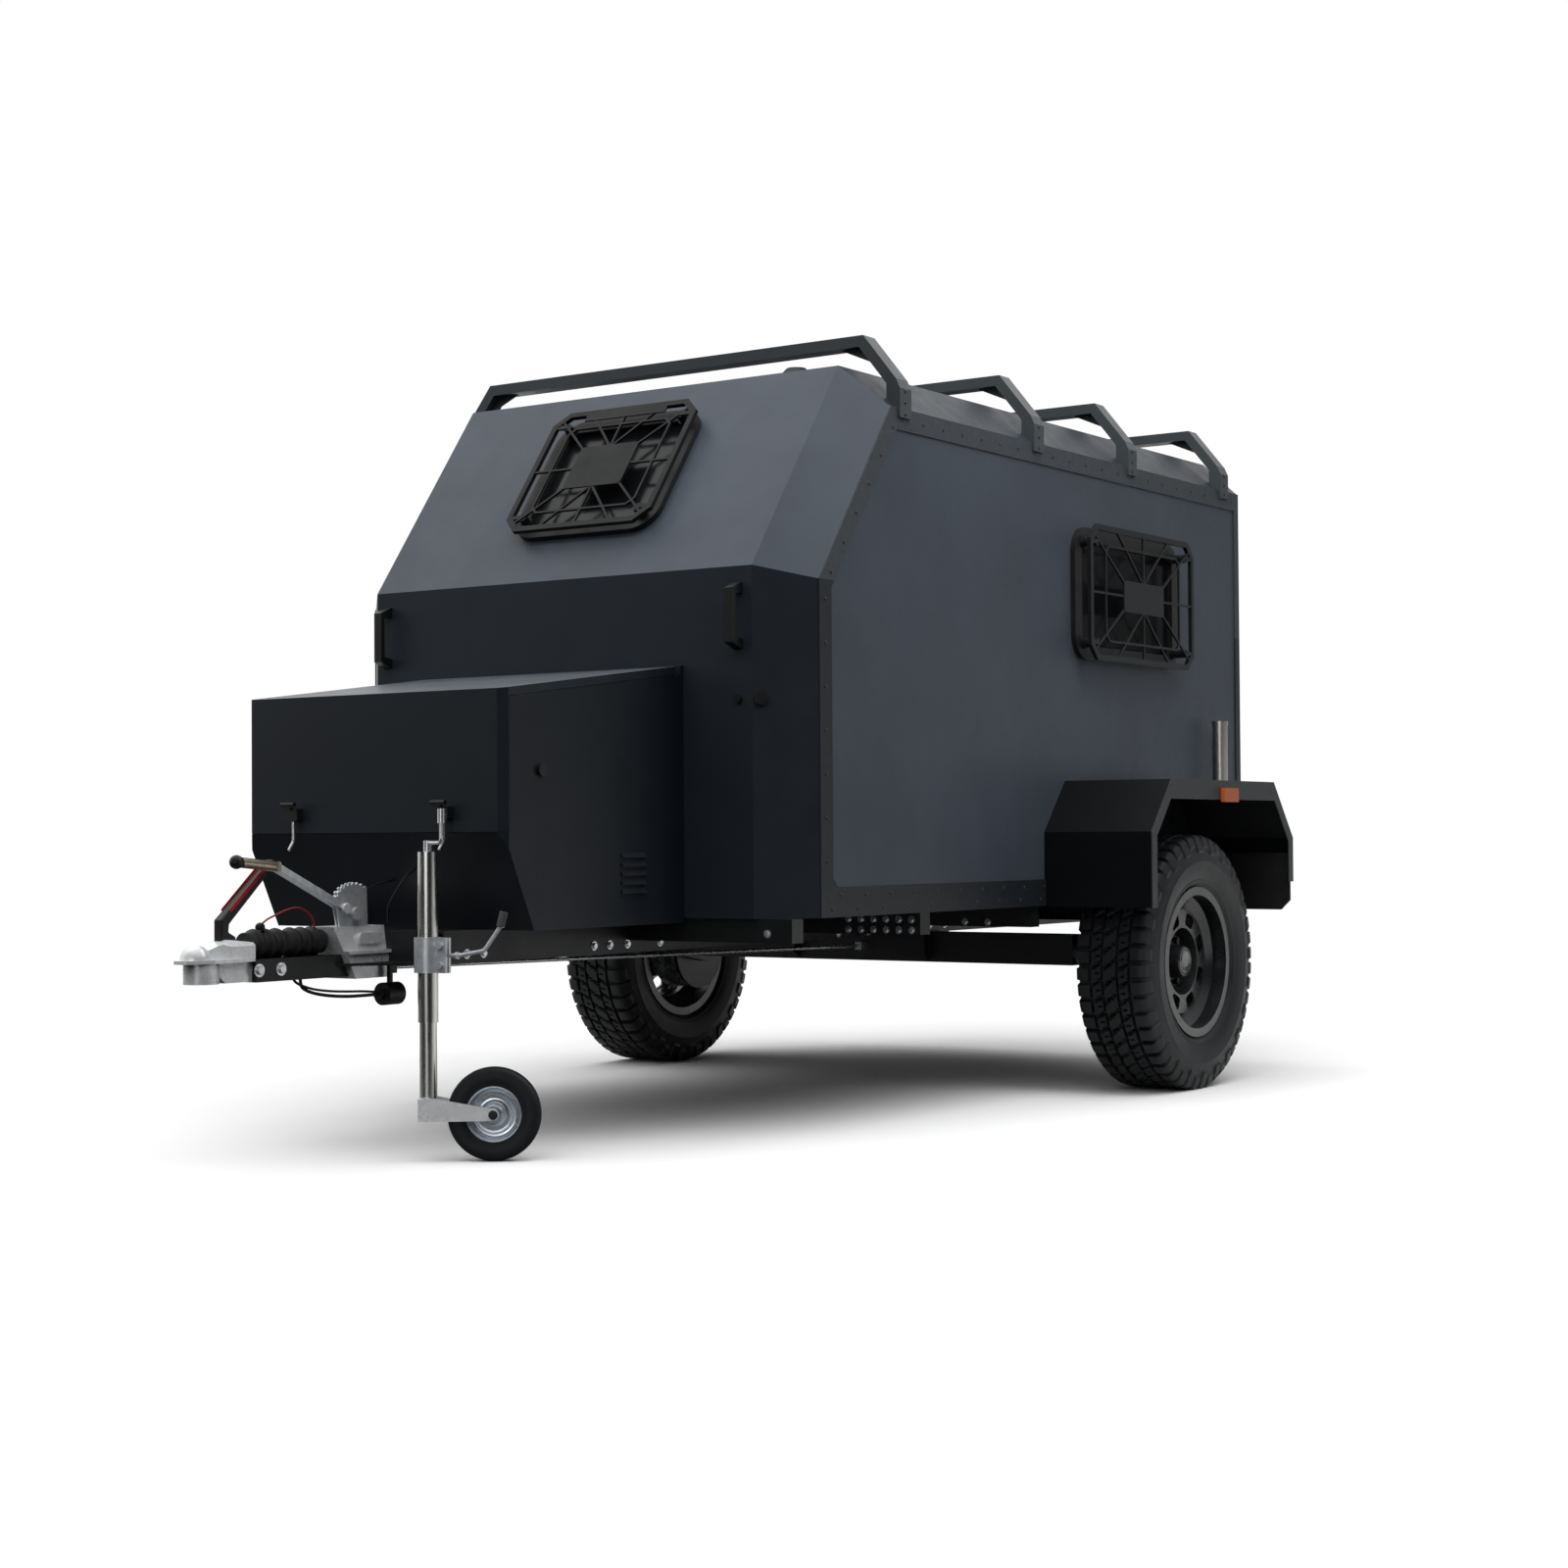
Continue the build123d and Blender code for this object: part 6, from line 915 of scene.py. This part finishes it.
def floor_material():
    """A pale matt floor with a soft shadow, which fades to white far off and sends back little light."""
    mat = bpy.data.materials.new("ground")
    mat.use_nodes = True
    tree = mat.node_tree
    tree.nodes.clear()
    paths = tree.nodes.new("ShaderNodeLightPath").outputs
    place = coordinates(tree, "Object")
    mottle = noise(tree, scale=1.5, detail=8.0)
    seen = ramp(tree, mottle, [(NOISE_SPAN[0], grey(0.96)), (NOISE_SPAN[1], grey(1.0))])
    behind = map_range(tree, axes_of(tree, place)["Y"], (-2.2, 1.4), (0.0, 1.0))
    bounced = ramp(tree, behind, [(0.0, grey(0.02)), (1.0, grey(0.80))])
    paint = mixed(tree, "RGBA", paths["Is Camera Ray"], bounced, seen)
    shown = combine(tree, "MAXIMUM", is_mirrored(tree, paths), paths["Is Camera Ray"])
    level = map_range(tree, shown, (0.0, 1.0), (0.08, 1.10))
    matt = tree.nodes.new("ShaderNodeBsdfDiffuse")
    tree.links.new(mixed(tree, "RGBA", 1.0, paint, level, "MULTIPLY"), matt.inputs["Color"])
    distance = tree.nodes.new("ShaderNodeVectorMath")
    distance.operation = "LENGTH"
    tree.links.new(place, distance.inputs[0])
    far = eased(tree, distance.outputs["Value"], (2.8, 6.0), (0.0, 1.0))
    white = tree.nodes.new("ShaderNodeEmission")
    blend = tree.nodes.new("ShaderNodeMixShader")
    output = tree.nodes.new("ShaderNodeOutputMaterial")
    tree.links.new(combine(tree, "MULTIPLY", far, paths["Is Camera Ray"]), blend.inputs["Fac"])
    tree.links.new(matt.outputs["BSDF"], blend.inputs[1])
    tree.links.new(white.outputs["Emission"], blend.inputs[2])
    tree.links.new(blend.outputs["Shader"], output.inputs["Surface"])
    return mat


FLOOR_CORNERS = ((-40, -40, 0), (40, -40, 0), (40, 60, 0), (-40, 60, 0))
floor_data = bpy.data.meshes.new("ground")
floor_data.from_pydata(FLOOR_CORNERS, [], [(0, 1, 2, 3)])
floor_data.materials.append(floor_material())
ground = add_object("ground", floor_data)

# World: white to the camera, and dark in front of the trailer and on its near side to all else
world = bpy.data.worlds.new("studio")
world.use_nodes = True
tree = world.node_tree
paths = tree.nodes.new("ShaderNodeLightPath").outputs
sky = coordinates(tree, "Generated")
sky_x = axes_of(tree, sky)["X"]
front = along(tree, sky, (0.35, -0.94, 0.0))

# What gloss and glass show: white on the far side and behind, a lit ceiling and a bright spot in front
around = map_range(tree, sky_x, (0.45, -0.35), (0.05, 1.0))
ceiling = eased(tree, along(tree, sky, (0.10, 0.25, 0.96)), (0.25, 0.85), (0.0, 0.50))
bright_spot = eased(tree, front, (0.960, 0.990), (0.0, 2.2))
mirrored_level = combine(tree, "MULTIPLY", around, eased(tree, front, (0.0, 0.65), (1.0, 0.02)))
mirrored_level = combine(tree, "ADD", mirrored_level, ceiling)
mirrored_level = combine(tree, "ADD", mirrored_level, bright_spot)

# What lights the matt surfaces: mostly the sky above, and a little from the far side and behind
far_side = eased(tree, sky_x, (0.0, 0.6), (1.0, 0.0))
above = eased(tree, along(tree, sky, (0.0, -0.30, 0.95)), (0.35, 0.95), (0.0, 1.75))
soft_level = combine(tree, "MULTIPLY", far_side, eased(tree, front, (-0.1, 0.7), (0.22, 0.03)))
soft_level = combine(tree, "ADD", soft_level, above)

unseen_level = mixed(tree, "FLOAT", is_mirrored(tree, paths), soft_level, mirrored_level)
background = tree.nodes["Background"]
background.inputs["Color"].default_value = (1.0, 1.0, 1.0, 1.0)
tree.links.new(mixed(tree, "FLOAT", paths["Is Camera Ray"], unseen_level, 1.0), background.inputs["Strength"])
scene.world = world

# One soft lamp over the visible side
LAMP_AT = Vector((1.8, 0.2, 3.1))
LAMP_AIM = Vector((0.7, 0.3, 1.2))
lamp_data = bpy.data.lights.new("overhead", "AREA")
lamp_data.shape = "RECTANGLE"
lamp_data.size = 1.4
lamp_data.size_y = 3.6
lamp_data.energy = 30.0
lamp = add_object("overhead", lamp_data)
lamp_turn = (LAMP_AIM - LAMP_AT).to_track_quat("-Z", "Y")
lamp.matrix_world = Matrix.Translation(LAMP_AT) @ lamp_turn.to_matrix().to_4x4()

scene.view_settings.view_transform = "Standard"
